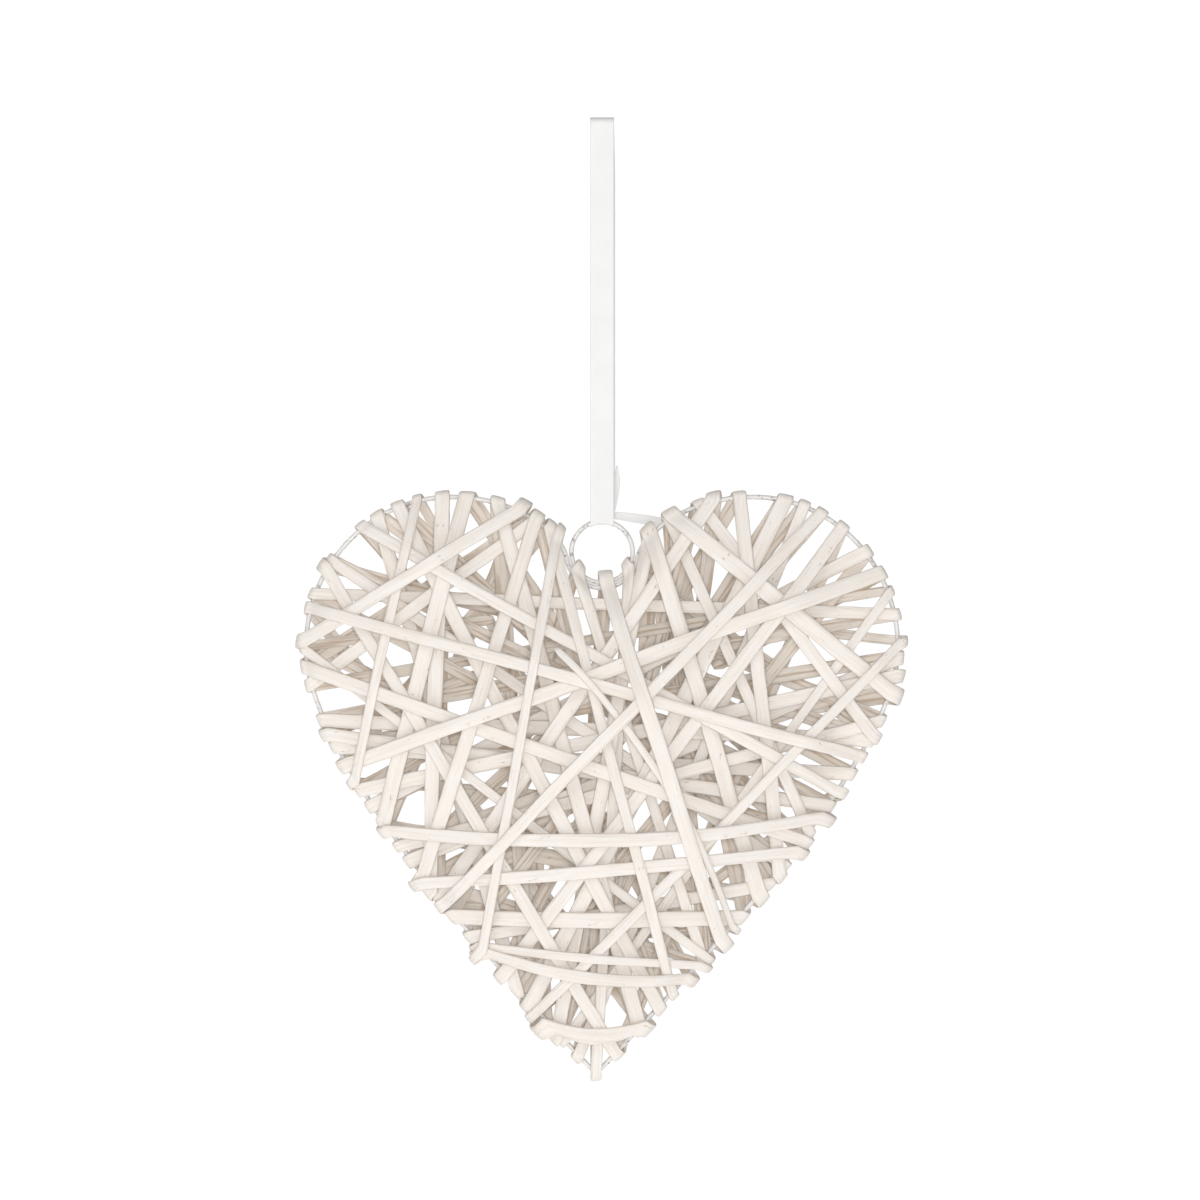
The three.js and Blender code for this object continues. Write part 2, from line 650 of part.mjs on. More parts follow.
// Ribbon: loop through the ring, knot behind its front strand, a tail that stands up and one that lies behind the
// right lobe
function ribbonGeometry() {
  const band = new THREE.Shape(loopOutline(RIBBON_THICK));
  band.holes.push(new THREE.Path(loopOutline(0)));
  const loop = new THREE.ExtrudeGeometry(band, { depth: RIBBON_WIDTH, bevelEnabled: false })
    .translate(0, 0, -RIBBON_WIDTH / 2)
    .applyMatrix4(new THREE.Matrix4().makeBasis(
      new THREE.Vector3(0, 1, 0), new THREE.Vector3(0, 0, 1), new THREE.Vector3(1, 0, 0)));
  const inside = WIRE / 2 + GAP;
  const knotFront = -inside - RIBBON_THICK / 2;
  const knotBack = inside + 2 * RIBBON_THICK;
  const knotBottom = -RING_TOP_DROP + GAP;
  const knot = new THREE.BoxGeometry(RIBBON_WIDTH, knotBack - knotFront, KNOT_HEIGHT)
    .translate(0, (knotFront + knotBack) / 2, knotBottom + KNOT_HEIGHT / 2);
  const back = knotBack - RIBBON_THICK;
  const root = xz(RIBBON_WIDTH / 2 - TAIL_INSET, knotBottom + KNOT_HEIGHT / 2);
  const leaf = new THREE.Shape([
    xz(-UP_TAIL_WIDTH * 0.4, 0),
    xz(UP_TAIL_WIDTH * 0.4, 0),
    xz(UP_TAIL_WIDTH * 0.9, UP_TAIL_LENGTH * 0.55),
    xz(UP_TAIL_WIDTH * 0.7, UP_TAIL_LENGTH),
    xz(-UP_TAIL_WIDTH * 0.1, UP_TAIL_LENGTH * 0.6),
  ]);
  const upTail = new THREE.ExtrudeGeometry(leaf, { depth: RIBBON_THICK, bevelEnabled: false })
    .rotateX(Math.PI / 2)
    .translate(root.x, back + RIBBON_THICK, root.y);
  const sideTail = makePass(-1, root, xz(SIDE_TAIL_REACH, root.y - SIDE_TAIL_DROP),
    null, null, SIDE_TAIL_START, SIDE_TAIL_WIDTH, 0);
  findNeeds(sideTail);
  finishPass(sideTail, back, null);
  return fused([loop, knot, upTail, skin(passSections(sideTail))]);
}

const willow = { color: 0xf1ebe2, roughness: 0.75, metalness: 0 };
const paintedWire = { color: 0xdcdad6, roughness: 0.5, metalness: 0.2 };
const satin = { color: 0xf7f6f5, roughness: 0.35, metalness: 0 };

const heart = new THREE.Group();

function addPiece(name, geometry, finish) {
  geometry.computeVertexNormals();
  const mesh = new THREE.Mesh(geometry, new THREE.MeshStandardMaterial(finish));
  mesh.name = name;
  heart.add(mesh);
}

addPiece("heart_wire", heartWire(), paintedWire);
addPiece("hanging_ring", ringGeometry().translate(0, 0, RING_Z), paintedWire);
WINDINGS.forEach((row, i) => {
  addPiece(`willow_strip_${String(i + 1).padStart(2, "0")}`, stripGeometry(windStrip(row)), willow);
});
addPiece("hanging_ribbon", ribbonGeometry(), satin);

export default heart;
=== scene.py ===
"""A puffed heart of white-painted willow strips wound over bent wire, hung by a satin ribbon.

Lengths in the winding are millimetres in the frame's own axes; meshes are written in metres.
"""

import bpy
import numpy as np
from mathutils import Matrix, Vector


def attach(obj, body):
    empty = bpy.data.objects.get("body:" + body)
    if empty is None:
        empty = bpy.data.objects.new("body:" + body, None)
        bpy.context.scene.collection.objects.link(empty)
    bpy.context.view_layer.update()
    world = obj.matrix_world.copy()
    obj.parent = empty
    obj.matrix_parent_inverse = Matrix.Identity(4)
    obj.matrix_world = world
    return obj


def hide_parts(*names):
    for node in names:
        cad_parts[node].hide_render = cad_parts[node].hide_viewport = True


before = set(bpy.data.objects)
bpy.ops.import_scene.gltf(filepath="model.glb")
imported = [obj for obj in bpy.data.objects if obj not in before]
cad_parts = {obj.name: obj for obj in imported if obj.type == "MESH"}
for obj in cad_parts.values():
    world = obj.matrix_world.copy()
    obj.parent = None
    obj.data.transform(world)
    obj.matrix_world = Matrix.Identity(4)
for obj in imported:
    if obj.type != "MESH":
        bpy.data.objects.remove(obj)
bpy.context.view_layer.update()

MM = 0.001
rad = np.radians

# Wire heart and hanging ring
WIRE = 2.4
LOBE_SPACING = 151
HEART_WIDTH = 296
LOBE_RISE = 75.5
SIDE_DROP = 213
SIDE_BELLY = 55.5
TIP_PULL = 75
TIP_ANGLE = rad(47)
TIP_BEND = 5
TIP_SHIFT = -3
RING_OUTER = 33
RING_TOP_DROP = 200.5
RING_TO_WIDEST = 48
JOIN_ANGLE = rad(-10)
NOTCH_PULL = 12
LOBE_PULL = 34
LOOP_STEPS = 16
STATIONS = 100
CURVE_STEPS = (8, 11, 18)

# Willow strips
STRIP_WIDTH = 7
STRIP_THICK = 1.2
BEND_SLACK = 0.5
GAP = 0.3
FACET_ROOM = 0.3
SPRING = 0.015
STEEPEST = 1.5
TAIL_LENGTH = 95
TAIL_LEAN = 12
WIDEST_TURN = rad(62)
TURN_DRIFT = 0.5
TURN_FACETS = 3
SHORTEST_BACK = 110
BELOW_RING = 22
NEAR_START = 0.1
SLANTING = rad(55)
COSTS = {"slanting": 5, "short": 6, "outside": 20}
SHORTEST_FACET = 12
FACET_RISE = 0.5
SAMPLE = 1.2
TANGENT_REACH = 1.5
BLEND_ANGLE = rad(20)
QUARTER_ARC = 0.5523

# Ribbon
RIBBON_WIDTH = 12
RIBBON_THICK = 0.3
HOOK_RADIUS = 3
KNOT_HEIGHT = 6
RIBBON_DRAPE = 16
SIDE_TAIL_REACH = 34
SIDE_TAIL_WIDTH = 6
SIDE_TAIL_DROP = 4

RING_R = (RING_OUTER - WIRE) / 2
RING_Z = -RING_TOP_DROP - RING_OUTER / 2
WIDEST_Z = RING_Z - RING_TO_WIDEST
LAYER = STRIP_THICK + GAP
NOTCH_R = RING_R + WIRE + GAP
LASH_R = (RING_R + NOTCH_R) / 2
HALF_FACET = np.pi / TURN_FACETS / 2
FIRST_TURN = (WIRE / 2 + GAP) / np.cos(HALF_FACET) + STRIP_THICK / 2 + BEND_SLACK
RING_TURN = (WIRE + GAP * 1.5) / np.cos(HALF_FACET) + STRIP_THICK / 2

# Each strip's two passes over the front, from the lowest strip up: first and last station and width of each, how far
# either bows sideways, and where an open strip's end lies on its first way. Stations count per cent of the winding
# loop from the ring's bottom round by the left; widths and bows are in strip widths.
WINDINGS = [
    [13.8, 43.5, 1, 31.3, 83.2, 1],
    [70.7, 27.7, 1, 77.3, 34.9, 1],
    [48.4, 87.4, 0.86, 63.3, 39.8, 0.93],
    [26.1, 72.8, 1, 19.2, 79.6, 0.86],
    [26.8, 68.6, 1, 17.2, 64.7, 0.86],
    [74, 33.9, 0.93, 76.3, 30.3, 1],
    [24.1, 4.8, 0.93, 81, 47.4, 0.71],
    [98.1, 50, 0.79, 93, 73, 0.93],
    [1.7, 58.1, 0.79, 94.9, 66.9, 0.86],
    [96.3, 46.9, 1, 22.3, 58.5, 0.71],
    [7.3, 53.2, 1.07, 88.5, 44.5, 1.14],
    [92.2, 37.3, 1, 10.3, 36.5, 1.07],
    [12.7, 54.7, 1, 90.9, 64.1, 1],
    [94.5, 75.3, 1.21, 38.7, 61.4, 1.14],
    [8.8, 32.3, 1.14, 96.1, 62.4, 1.14],
    [85.1, 42.5, 1, 17.8, 51.7, 0.93],
    [23.2, 66.4, 1, 5.3, 35.9, 1],
    [14.9, 69.5, 0.86, 78, 45.3, 0.74],
    [36.3, 65.8, 0.93, 40.7, 57.8, 0.64],
    [4.1, 55.7, 0.77, 28.6, 82, 1.07],
    [11.7, 29.9, 0.71, 41.1, 57, 0.9, 0, -0.7],
    [6.2, 21.9, 0.97, 32.6, 67.8, 0.97, 0, -1],
    [20, 71.7, 0.9, 46.2, 53.5, 1.2, 0, -0.6],
    [9.3, 60.4, 0.54, 3.6, 41.1, 0.71, 1.5, 0, 0.35],
    [86.4, 37.7, 0.9, 99.74, 59.3, 1.06],
]


def bezier(p0, p1, p2, p3, steps):
    """Cubic curve: the cubic Bernstein mean of four handles, at steps + 1 even shares."""
    t = np.linspace(0, 1, steps + 1)[:, None]
    return ((1 - t) ** 3 * p0 + 3 * (1 - t) ** 2 * t * p1 + 3 * (1 - t) * t * t * p2 + t ** 3 * p3)


def turned(angle):
    """Unit vector in the wire's plane at an angle from +X."""
    return np.array([np.cos(angle), np.sin(angle)])


def right_wire(tip_shift, steps=CURVE_STEPS):
    """Right half of the heart's wire: three cubic curves from where it leaves the ring over the lobe to the tip."""
    join = np.array([0, RING_Z]) + NOTCH_R * turned(JOIN_ANGLE)
    lobe = np.array([LOBE_SPACING / 2, WIDEST_Z + LOBE_RISE])
    side = np.array([HEART_WIDTH / 2, WIDEST_Z])
    tip = np.array([tip_shift, WIDEST_Z - SIDE_DROP])
    curves = [
        (join, join + NOTCH_PULL * turned(np.pi / 2 + JOIN_ANGLE), lobe - [LOBE_PULL, 0], lobe),
        (lobe, lobe + [QUARTER_ARC * (side[0] - lobe[0]), 0], side + [0, QUARTER_ARC * LOBE_RISE], side),
        (side, side - [0, SIDE_BELLY], tip + TIP_PULL * turned(TIP_ANGLE), tip),
    ]
    parts = [bezier(*handles, n)[:-1] for handles, n in zip(curves, steps)]
    return np.concatenate([*parts, tip[None]])


def notch_arc(steps, blended):
    """Right half of a round line below the ring: on the wire's notch, or blended from half way to the ring."""
    angle = np.linspace(-np.pi / 2, JOIN_ANGLE, steps + 1)[:-1]
    t = np.clip((angle - JOIN_ANGLE) / BLEND_ANGLE + 1, 0, 1) if blended else 1 + 0 * angle
    radius = LASH_R + (NOTCH_R - LASH_R) * t * t * (3 - 2 * t)
    return np.stack([radius * np.cos(angle), RING_Z + radius * np.sin(angle)], -1)


def right_half(tip_shift):
    """Right half of the winding loop: between the ring and the wire round it, then along the wire."""
    return np.concatenate([notch_arc(LOOP_STEPS, True), right_wire(tip_shift)])


LOOP = np.concatenate([right_half(-TIP_SHIFT) * [-1, 1], right_half(TIP_SHIFT)[::-1][1:]])
RUN = np.concatenate([[0], np.cumsum(np.linalg.norm(np.diff(LOOP, axis=0), axis=1))])
STATION = RUN[-1] / STATIONS
HALF_WAY = STATIONS / 2
JOIN_STATION = RUN[LOOP_STEPS] / STATION
TIP_STATION = RUN[(len(LOOP) - 1) // 2] / STATION


def loop_point(station):
    """Points of the winding loop at stations, by their share of its running length."""
    run = np.mod(np.asarray(station, float), STATIONS) * STATION
    return np.stack([np.interp(run, RUN, LOOP[:, 0]), np.interp(run, RUN, LOOP[:, 1])], -1)


def loop_at(station):
    """Point, unit tangent and outward normal of the loop at stations, by central difference."""
    step = TANGENT_REACH / STATION
    station = np.asarray(station, float)
    along = loop_point(station + step) - loop_point(station - step)
    along = along / np.linalg.norm(along, axis=-1, keepdims=True)
    return loop_point(station), along, np.stack([along[..., 1], -along[..., 0]], -1)


def clear_of_corners(station, half_extent):
    """A station moved just past the loop's corners, by the turn's half extent and the corner's own room."""
    if station == HALF_WAY:
        return TIP_STATION
    past_join = WIRE + GAP
    past_tip = TIP_BEND * np.tan(TIP_ANGLE)
    for corner, free in ((JOIN_STATION, past_join), (STATIONS - JOIN_STATION, past_join), (TIP_STATION, past_tip)):
        room = (half_extent + free) / STATION
        off = station - corner
        if abs(off) < room:
            return corner + room * np.sign(off)
    return station


def on_ring(station):
    """Whether a station lies on the ring and the wire round it together."""
    return station < JOIN_STATION or station > STATIONS - JOIN_STATION


def first_turn(station):
    """Radius of a turn that lies on the wire itself, or on the wire and the ring."""
    return RING_TURN if on_ring(station) else FIRST_TURN


def meeting(station, start, width):
    """How obliquely a straight pass meets the wire, and the strip's half extent along the wire there."""
    point, along, out = loop_at(station)
    heading = point - start
    heading = heading / np.linalg.norm(heading)
    angle = np.clip(np.arctan2(heading @ along, max(heading @ out, 0)), -WIDEST_TURN, WIDEST_TURN)
    return angle, width / 2 / np.cos(angle)


class Pass:
    """A strip's way over the front (side 1) or the back (side -1).

    A point of it is a share of the way and a distance across. Its sections lie along the wire at both ends and turn
    evenly between them; its height follows a taut line.
    """

    def __init__(self, side, start, end, start_cross, end_cross, widths, bow):
        self.side, self.start, self.bow, self.widths = side, start, bow, widths
        self.length = np.linalg.norm(end - start)
        self.heading = (end - start) / self.length
        self.across = np.array([-self.heading[1], self.heading[0]])
        self.skews = [self.skew(start_cross), self.skew(end_cross)]
        self.needs = []
        self.profile = None

    def skew(self, cross):
        """Slope of a section against the straight one, limited to the widest turn."""
        if cross is None:
            return 0.0
        most = np.tan(WIDEST_TURN)
        return float(np.clip((cross @ self.heading) / (cross @ self.across), -most, most))

    def width(self, share):
        """Width, even from one end's to the other's."""
        share = np.clip(share, 0, 1)
        return self.widths[0] + (self.widths[1] - self.widths[0]) * share

    def plan(self, share, offset):
        """Plan point: along by share and skew, across by offset and the bow's parabola."""
        skew = self.skews[0] + (self.skews[1] - self.skews[0]) * share
        run = (self.length * share + offset * skew)[..., None]
        side = (offset + self.bow * 4 * share * (1 - share))[..., None]
        return self.start + self.heading * run + self.across * side

    def spot(self, point):
        """Inverse of plan, by three rounds of fixed-point steps."""
        local = point - self.start
        run, sideways = local @ self.heading, local @ self.across
        share = np.clip(run / self.length, 0, 1)
        for _ in range(3):
            inside = np.clip(share, 0, 1)
            offset = sideways - self.bow * 4 * inside * (1 - inside)
            share = (run - offset * self.skews[0]) / (self.length + offset * (self.skews[1] - self.skews[0]))
        return share, offset

    def height(self, share):
        """Height of the strip's middle over the wire's plane, on the taut line."""
        line = np.array(self.profile)
        return np.interp(share, line[:, 0], line[:, 1])


wound = []
turns = []


def find_needs(way):
    """Least heights of a pass: over every earlier pass of its side that its footprint meets."""
    steps = int(np.ceil(way.length / SAMPLE))
    share = np.repeat(np.arange(steps + 1) / steps, 5).reshape(-1, 5)
    offset = way.width(share) * np.arange(-2, 3) / 4
    points = way.plan(share, offset)
    need = np.zeros(share.shape)
    past_wire = FIRST_TURN + STRIP_THICK
    for other in wound:
        if other.side != way.side:
            continue
        there, aside = other.spot(points)
        past = past_wire / other.length
        meets = (np.abs(aside) < other.width(there) / 2 + GAP * 2) & (there > -past) & (there < 1 + past)
        need = np.where(meets, np.maximum(need, other.height(there) + LAYER + FACET_ROOM), need)
    need = need.max(axis=1)
    way.needs = [(s, n) for s, n in zip(share[:, 0], need) if n > 0]


def turn_radius(turn, ways):
    """Radius of a turn: over earlier turns whose stations it shares, and high enough for both its passes."""
    radius = first_turn(turn["stations"][0])
    for other in turns:
        between = np.abs(other["stations"] - turn["stations"])
        apart = np.minimum(between, STATIONS - between) * STATION
        crowding = np.array([
            1 / (1 - (other["radius"] + STRIP_THICK / 2) / LASH_R) if on_ring(s) else 1.0 for s in turn["stations"]])
        if np.any(apart < (other["extents"] + turn["extents"]) * crowding + GAP * 2):
            radius = max(radius, other["radius"] + LAYER)
    for way, at_end in ways:
        for share, need in way.needs:
            away = (1 - share if at_end else share) * way.length
            radius = max(radius, need - STEEPEST * away)
    return radius


def upper_hull(points):
    """Taut line over points: the upper convex hull, kept where each bend turns down."""
    hull = []
    for point in sorted(points):
        while len(hull) > 1:
            a, b = hull[-2:]
            if (b[0] - a[0]) * (point[1] - a[1]) - (b[1] - a[1]) * (point[0] - a[0]) < -1e-9:
                break
            hull.pop()
        hull.append(point)
    return hull


def join_short_facets(hull, length):
    """Replaces a short facet by the point over it where its neighbours meet."""
    i = 1
    while i + 2 < len(hull):
        a, b, c, d = hull[i - 1:i + 3]
        before = (b[1] - a[1]) / (b[0] - a[0])
        after = (d[1] - c[1]) / (d[0] - c[0])
        share = (c[1] - b[1] + before * b[0] - after * c[0]) / (before - after)
        height = b[1] + before * (share - b[0])
        over = height - (b[1] + (c[1] - b[1]) * (share - b[0]) / (c[0] - b[0]))
        if (c[0] - b[0]) * length < SHORTEST_FACET and over < FACET_RISE:
            hull[i:i + 2] = [(share, height)]
            i = max(1, i - 1)
        else:
            i += 1
    return hull


def finish_pass(way, start_level, end_level):
    """Gives a pass its taut line; a free end lies on what is under it."""
    if start_level is None:
        start_level = max([end_level] + [n for _, n in way.needs[:1]])
    if end_level is None:
        end_level = max([start_level] + [n for _, n in way.needs[-1:]])
    rise = SPRING * way.length
    points = [(0.0, start_level), (1.0, end_level), *way.needs]
    for share in (0.25, 0.5, 0.75):
        even = start_level + (end_level - start_level) * share
        points.append((share, even + rise * 4 * share * (1 - share)))
    way.profile = join_short_facets(upper_hull(points), way.length)
    wound.append(way)


def clears_ring(start, end):
    """Whether a straight way passes the ring at a distance, unless it starts there."""
    ring = np.array([0, RING_Z])
    heading = end - start
    nearest = np.clip((ring - start) @ heading / (heading @ heading), 0, 1)
    return nearest < NEAR_START or np.linalg.norm(start + heading * nearest - ring) > RING_R + BELOW_RING


def tail_end(station, start):
    """Where a strip's tucked end lies: a set way towards the loop's far side, leaning on as the strip came."""
    point = loop_point(station)
    lean = np.clip(np.tan(meeting(station, start, 1)[0]), -1, 1)
    ends = []
    for way in (lean, 0, -lean, -2 * lean):
        heading = loop_point(station + HALF_WAY - TAIL_LEAN * way) - point
        ends.append(point + heading / np.linalg.norm(heading) * TAIL_LENGTH)
    return next((end for end in ends if clears_ring(point, end)), ends[1])


def stays_inside(first, last):
    """Whether a straight way between two stations keeps below the ring."""
    a, b = loop_point(first), loop_point(last)
    if a[0] * b[0] > 0:
        return True
    level = a[1] + (b[1] - a[1]) * a[0] / (a[0] - b[0])
    return level < RING_Z - RING_R - BELOW_RING


def best_way(first, second, is_open):
    """The order of a strip's four stations with the gentlest turns, and which passes it runs backwards.

    An open strip keeps its first pass's way.
    """
    (a, b), (c, d) = first, second
    best = None
    for one, two in ((a, b),) if is_open else ((a, b), (b, a)):
        for three, four in ((c, d), (d, c)):
            into = meeting(two, loop_point(one), 1)[0]
            leaving = meeting(two, loop_point(three), 1)[0]
            back = meeting(three, loop_point(two), 1)[0]
            again = meeting(three, loop_point(four), 1)[0]
            cost = abs(into + leaving) + abs(back + again)
            cost += COSTS["slanting"] if max(abs(leaving), abs(back)) > SLANTING else 0
            cost += COSTS["short"] if np.linalg.norm(loop_point(two) - loop_point(three)) < SHORTEST_BACK else 0
            cost += 0 if stays_inside(two, three) else COSTS["outside"]
            if best is None or cost < best[0]:
                best = (cost, [one, two, three, four], [one != a, three != c])
    return best[1], best[2]


def plan_turn(station, start, end, width):
    """Stations, half extents and radius of a turn round the wire, drifting along it as the strip leans."""
    arrive, arrive_extent = meeting(station, start, width)
    leave, leave_extent = meeting(station, end, width)
    drift = (np.tan(arrive) - np.tan(leave)) / 2
    shift = np.clip(np.pi * FIRST_TURN * drift * TURN_DRIFT, -width / 2, width / 2) / STATION
    share = np.arange(TURN_FACETS + 1) / TURN_FACETS
    return {
        "half": width / 2,
        "slide": shift * STATION,
        "lean": (np.tan(arrive) + np.tan(leave)) / 2,
        "stations": station + shift * share,
        "extents": arrive_extent + (leave_extent - arrive_extent) * share,
        "radius": first_turn(station),
    }


def wind_strip(row):
    """One strip as five passes (tail, front, back, front, tail) and the four turns between them.

    An open strip has no first tail: its end lies on the front, a share of the first way from its start.
    """
    a, b, first_width, c, d, last_width, *more = row
    first_bow, last_bow, is_open = (more + [0, 0, 0])[:3]
    stations, flips = best_way((a, b), (c, d), is_open)
    widths = [width * STRIP_WIDTH for width in (first_width, first_width, last_width, last_width)]
    bows = [0, first_bow * (-1 if flips[0] else 1), 0, last_bow * (-1 if flips[1] else 1), 0]
    froms = [loop_point(stations[i]) for i in (1, 0, 3, 2)]
    held = [clear_of_corners(s, meeting(s, f, w)[1]) for s, f, w in zip(stations, froms, widths)]
    tails = [tail_end(held[0], loop_point(held[1])), tail_end(held[3], loop_point(held[2]))]
    stops = [tails[0], *[loop_point(s) for s in held], tails[1]]
    bends = [plan_turn(s, stops[i], stops[i + 2], widths[i]) for i, s in enumerate(held)]
    ways = [None] * 5
    first = 0
    if is_open:
        first = 1
        tails[0] = stops[1] + (stops[2] - stops[1]) * is_open
    for i in range(first, 5):
        start = loop_at(bends[i - 1]["stations"][-1]) if i > first else None
        end = loop_at(bends[i]["stations"][0]) if i < 4 else None
        way = Pass(
            1 if i % 2 else -1,
            start[0] if start else tails[0], end[0] if end else tails[1],
            start[1] if start else None, end[1] if end else None,
            (widths[max(i - 1, 0)], widths[min(i, 3)]), bows[i] * STRIP_WIDTH)
        find_needs(way)
        ways[i] = way
        if i > first:
            turn = bends[i - 1]
            turn["radius"] = turn_radius(turn, [(ways[i - 1], True), (way, False)])
            if on_ring(turn["stations"][0]):
                turn["radius"] += turn["extents"].max() ** 2 / 2 / LASH_R
            turns.append(turn)
            finish_pass(ways[i - 1], bends[i - 2]["radius"] if i - 1 > first else None, turn["radius"])
    finish_pass(ways[4], bends[3]["radius"], None)
    return ways, bends


# A strip's sections: their distance on a pass, their number on a turn, and how freely they ease near the wire
SECTION_STEP = 2.0
TURN_STEPS = 12
TURN_SWAY = 0.6
TURN_REACH = 8
TURN_STIFFNESS = 0.12
PATH_EASING = 5
NORMAL_EASING = 2


def strip_frame(ways, bends):
    """Middle points, half vectors across, outward hints and freedom to ease of one strip, section by section.

    Passes are sampled evenly by share; a turn is a half circle round the wire whose sections lie along the wire, as
    wide in its middle as the strip is square to its own slope there. It sways along the wire as it arrives and back
    as it leaves.
    """
    middles, halves, outs, free = [], [], [], []
    for i, way in enumerate(ways):
        if way is None:
            continue
        share = np.linspace(0, 1, int(way.length / SECTION_STEP) + 1)
        half_width = way.width(share) / 2
        left, right = way.plan(share, half_width), way.plan(share, -half_width)
        middle, half = (left + right) / 2, (left - right) / 2 * way.side
        depth = -way.side * way.height(share)
        none = np.zeros_like(share)
        middles.append(np.stack([middle[:, 0], depth, middle[:, 1]], -1))
        halves.append(np.stack([half[:, 0], none, half[:, 1]], -1))
        outs.append(np.stack([none, none - way.side, none], -1))
        free.append(np.clip(np.minimum(share, 1 - share) * way.length / TURN_REACH, TURN_STIFFNESS, 1))
        if i < len(bends):
            turn = bends[i]
            t = np.arange(1, TURN_STEPS) / TURN_STEPS
            marks = np.arange(TURN_FACETS + 1) / TURN_FACETS
            sway = TURN_SWAY * np.pi * turn["radius"] * turn["lean"]
            slope = (turn["slide"] + sway * (1 - 2 * t)) / (np.pi * turn["radius"])
            point, along, out = loop_at(np.interp(t, marks, turn["stations"]) + sway * t * (1 - t) / STATION)
            angle = np.pi * t
            lead = halves[-1][-1][[0, 2]]
            sign = np.sign(along[0] @ lead)
            swing = out * np.sin(angle)[:, None]
            facing = np.cos(angle) * (-1 if i % 2 else 1)
            place = point + swing * turn["radius"]
            helix = turn["half"] * np.hypot(1, slope)
            ends = np.interp(t, marks, turn["extents"])
            extent = ends + (helix - ends) * np.sqrt(np.sin(np.pi * t))
            across = along * (extent * sign)[:, None]
            middles.append(np.stack([place[:, 0], facing * turn["radius"], place[:, 1]], -1))
            halves.append(np.stack([across[:, 0], 0 * t, across[:, 1]], -1))
            outs.append(np.stack([swing[:, 0], facing, swing[:, 1]], -1))
            free.append(np.full(len(t), TURN_STIFFNESS))
    return [np.concatenate(part) for part in (middles, halves, outs, free)]


def eased(rows, rounds, strength=1.0):
    """Rows smoothed along the strip by repeated quarter-half-quarter means, by strength, with both ends kept."""
    rows = rows.copy()
    for _ in range(rounds):
        mean = (rows[:-2] + 2 * rows[1:-1] + rows[2:]) / 4
        rows[1:-1] += (mean - rows[1:-1]) * strength
    return rows


def unit(rows):
    """Rows scaled to length one."""
    return rows / np.linalg.norm(rows, axis=-1, keepdims=True)


def wander(rng, run, spacing):
    """Smooth random line from -1 to 1: cubic-eased values drawn every spacing millimetres."""
    knots = rng.uniform(-1, 1, int(run[-1] / spacing) + 3)
    at = run / spacing
    low = np.floor(at).astype(int)
    t = at - low
    t = t * t * (3 - 2 * t)
    return knots[low] * (1 - t) + knots[low + 1] * t


def make_mesh(name, vertices, faces, uv=None, attributes=None):
    """A mesh object of quads or triangles, smooth shaded, from millimetre vertices and per-vertex values."""
    mesh = bpy.data.meshes.new(name)
    faces = np.asarray(faces, np.int32)
    mesh.vertices.add(len(vertices))
    mesh.vertices.foreach_set("co", (np.asarray(vertices) * MM).astype(np.float32).ravel())
    mesh.loops.add(faces.size)
    mesh.loops.foreach_set("vertex_index", faces.ravel())
    mesh.polygons.add(len(faces))
    mesh.polygons.foreach_set("loop_start", np.arange(len(faces), dtype=np.int32) * faces.shape[1])
    if uv is not None:
        layer = mesh.uv_layers.new(name="UVMap")
        layer.data.foreach_set("uv", np.asarray(uv, np.float32)[faces.ravel()].ravel())
    for key, values in (attributes or {}).items():
        attribute = mesh.attributes.new(key, "FLOAT", "POINT")
        attribute.data.foreach_set("value", np.asarray(values, np.float32))
    mesh.polygons.foreach_set("use_smooth", np.ones(len(faces), bool))
    mesh.update()
    mesh.validate()
    obj = bpy.data.objects.new(name, mesh)
    bpy.context.scene.collection.objects.link(obj)
    return obj


def tube_faces(rings, sides, closed=False):
    """Quads between neighbouring rings of points, wrapped round; a closed tube joins its last ring to its first."""
    i = np.arange(rings if closed else rings - 1)[:, None]
    j = np.arange(sides)[None, :]
    k = (i + 1) % rings
    n = (j + 1) % sides
    return np.stack([i * sides + j, i * sides + n, k * sides + n, k * sides + j], -1).reshape(-1, 4)


def end_caps(rings, sides, middle_first, middle_last):
    """Triangles that close both ends of a tube on a middle point each."""
    j = np.arange(sides)
    n = (j + 1) % sides
    last = (rings - 1) * sides
    first = np.stack([np.full(sides, middle_first), n, j], -1)
    final = np.stack([np.full(sides, middle_last), last + j, last + n], -1)
    return first, final


# Section of split willow
PROFILE_OUTER = 11
PROFILE_INNER = 5
CROWN = 0.78
EDGE = -0.25
FLATNESS = 0.42
# How far the colour darkens towards both edges of the bark side, as a share of the way to the split side's colour
EDGE_DARKENING = 0.7
INNER_SHARE = 0.93
INNER_DIP = 0.1

# How unevenly a strip is split and laid
ROLL = rad(4)
SLOW_WIDTH = 0.06
QUICK_WIDTH = 0.035
CROWN_CHANGE = 0.10
SIDE_SWAY = 0.5
END_SHARE = 0.55
END_REACH = 9
STEADY_END = 20
PATTERN_SHIFT = 900


def strip_profile():
    """Section of split willow: a gently rounded bark side over a flat split side, with crisp edges.

    The bark side is the upper half of a flattened superellipse; the split side sinks a little at its middle. Gives
    the across share, the height in millimetres and how far round towards the split side each point is.
    """
    t = np.linspace(0, np.pi, PROFILE_OUTER)
    across = np.cos(t)
    height = EDGE + (CROWN - EDGE) * np.sin(t) ** FLATNESS
    # The colour darkens towards both edges of the bark side
    bare = np.clip(1 - np.sin(t) ** 0.5, 0, 1) * EDGE_DARKENING
    inner = np.linspace(-INNER_SHARE, INNER_SHARE, PROFILE_INNER)
    inner_height = -STRIP_THICK / 2 + INNER_DIP * (1 - inner ** 2)
    return (
        np.concatenate([across, inner]),
        np.concatenate([height, inner_height]),
        np.concatenate([bare, np.ones(PROFILE_INNER)]),
    )


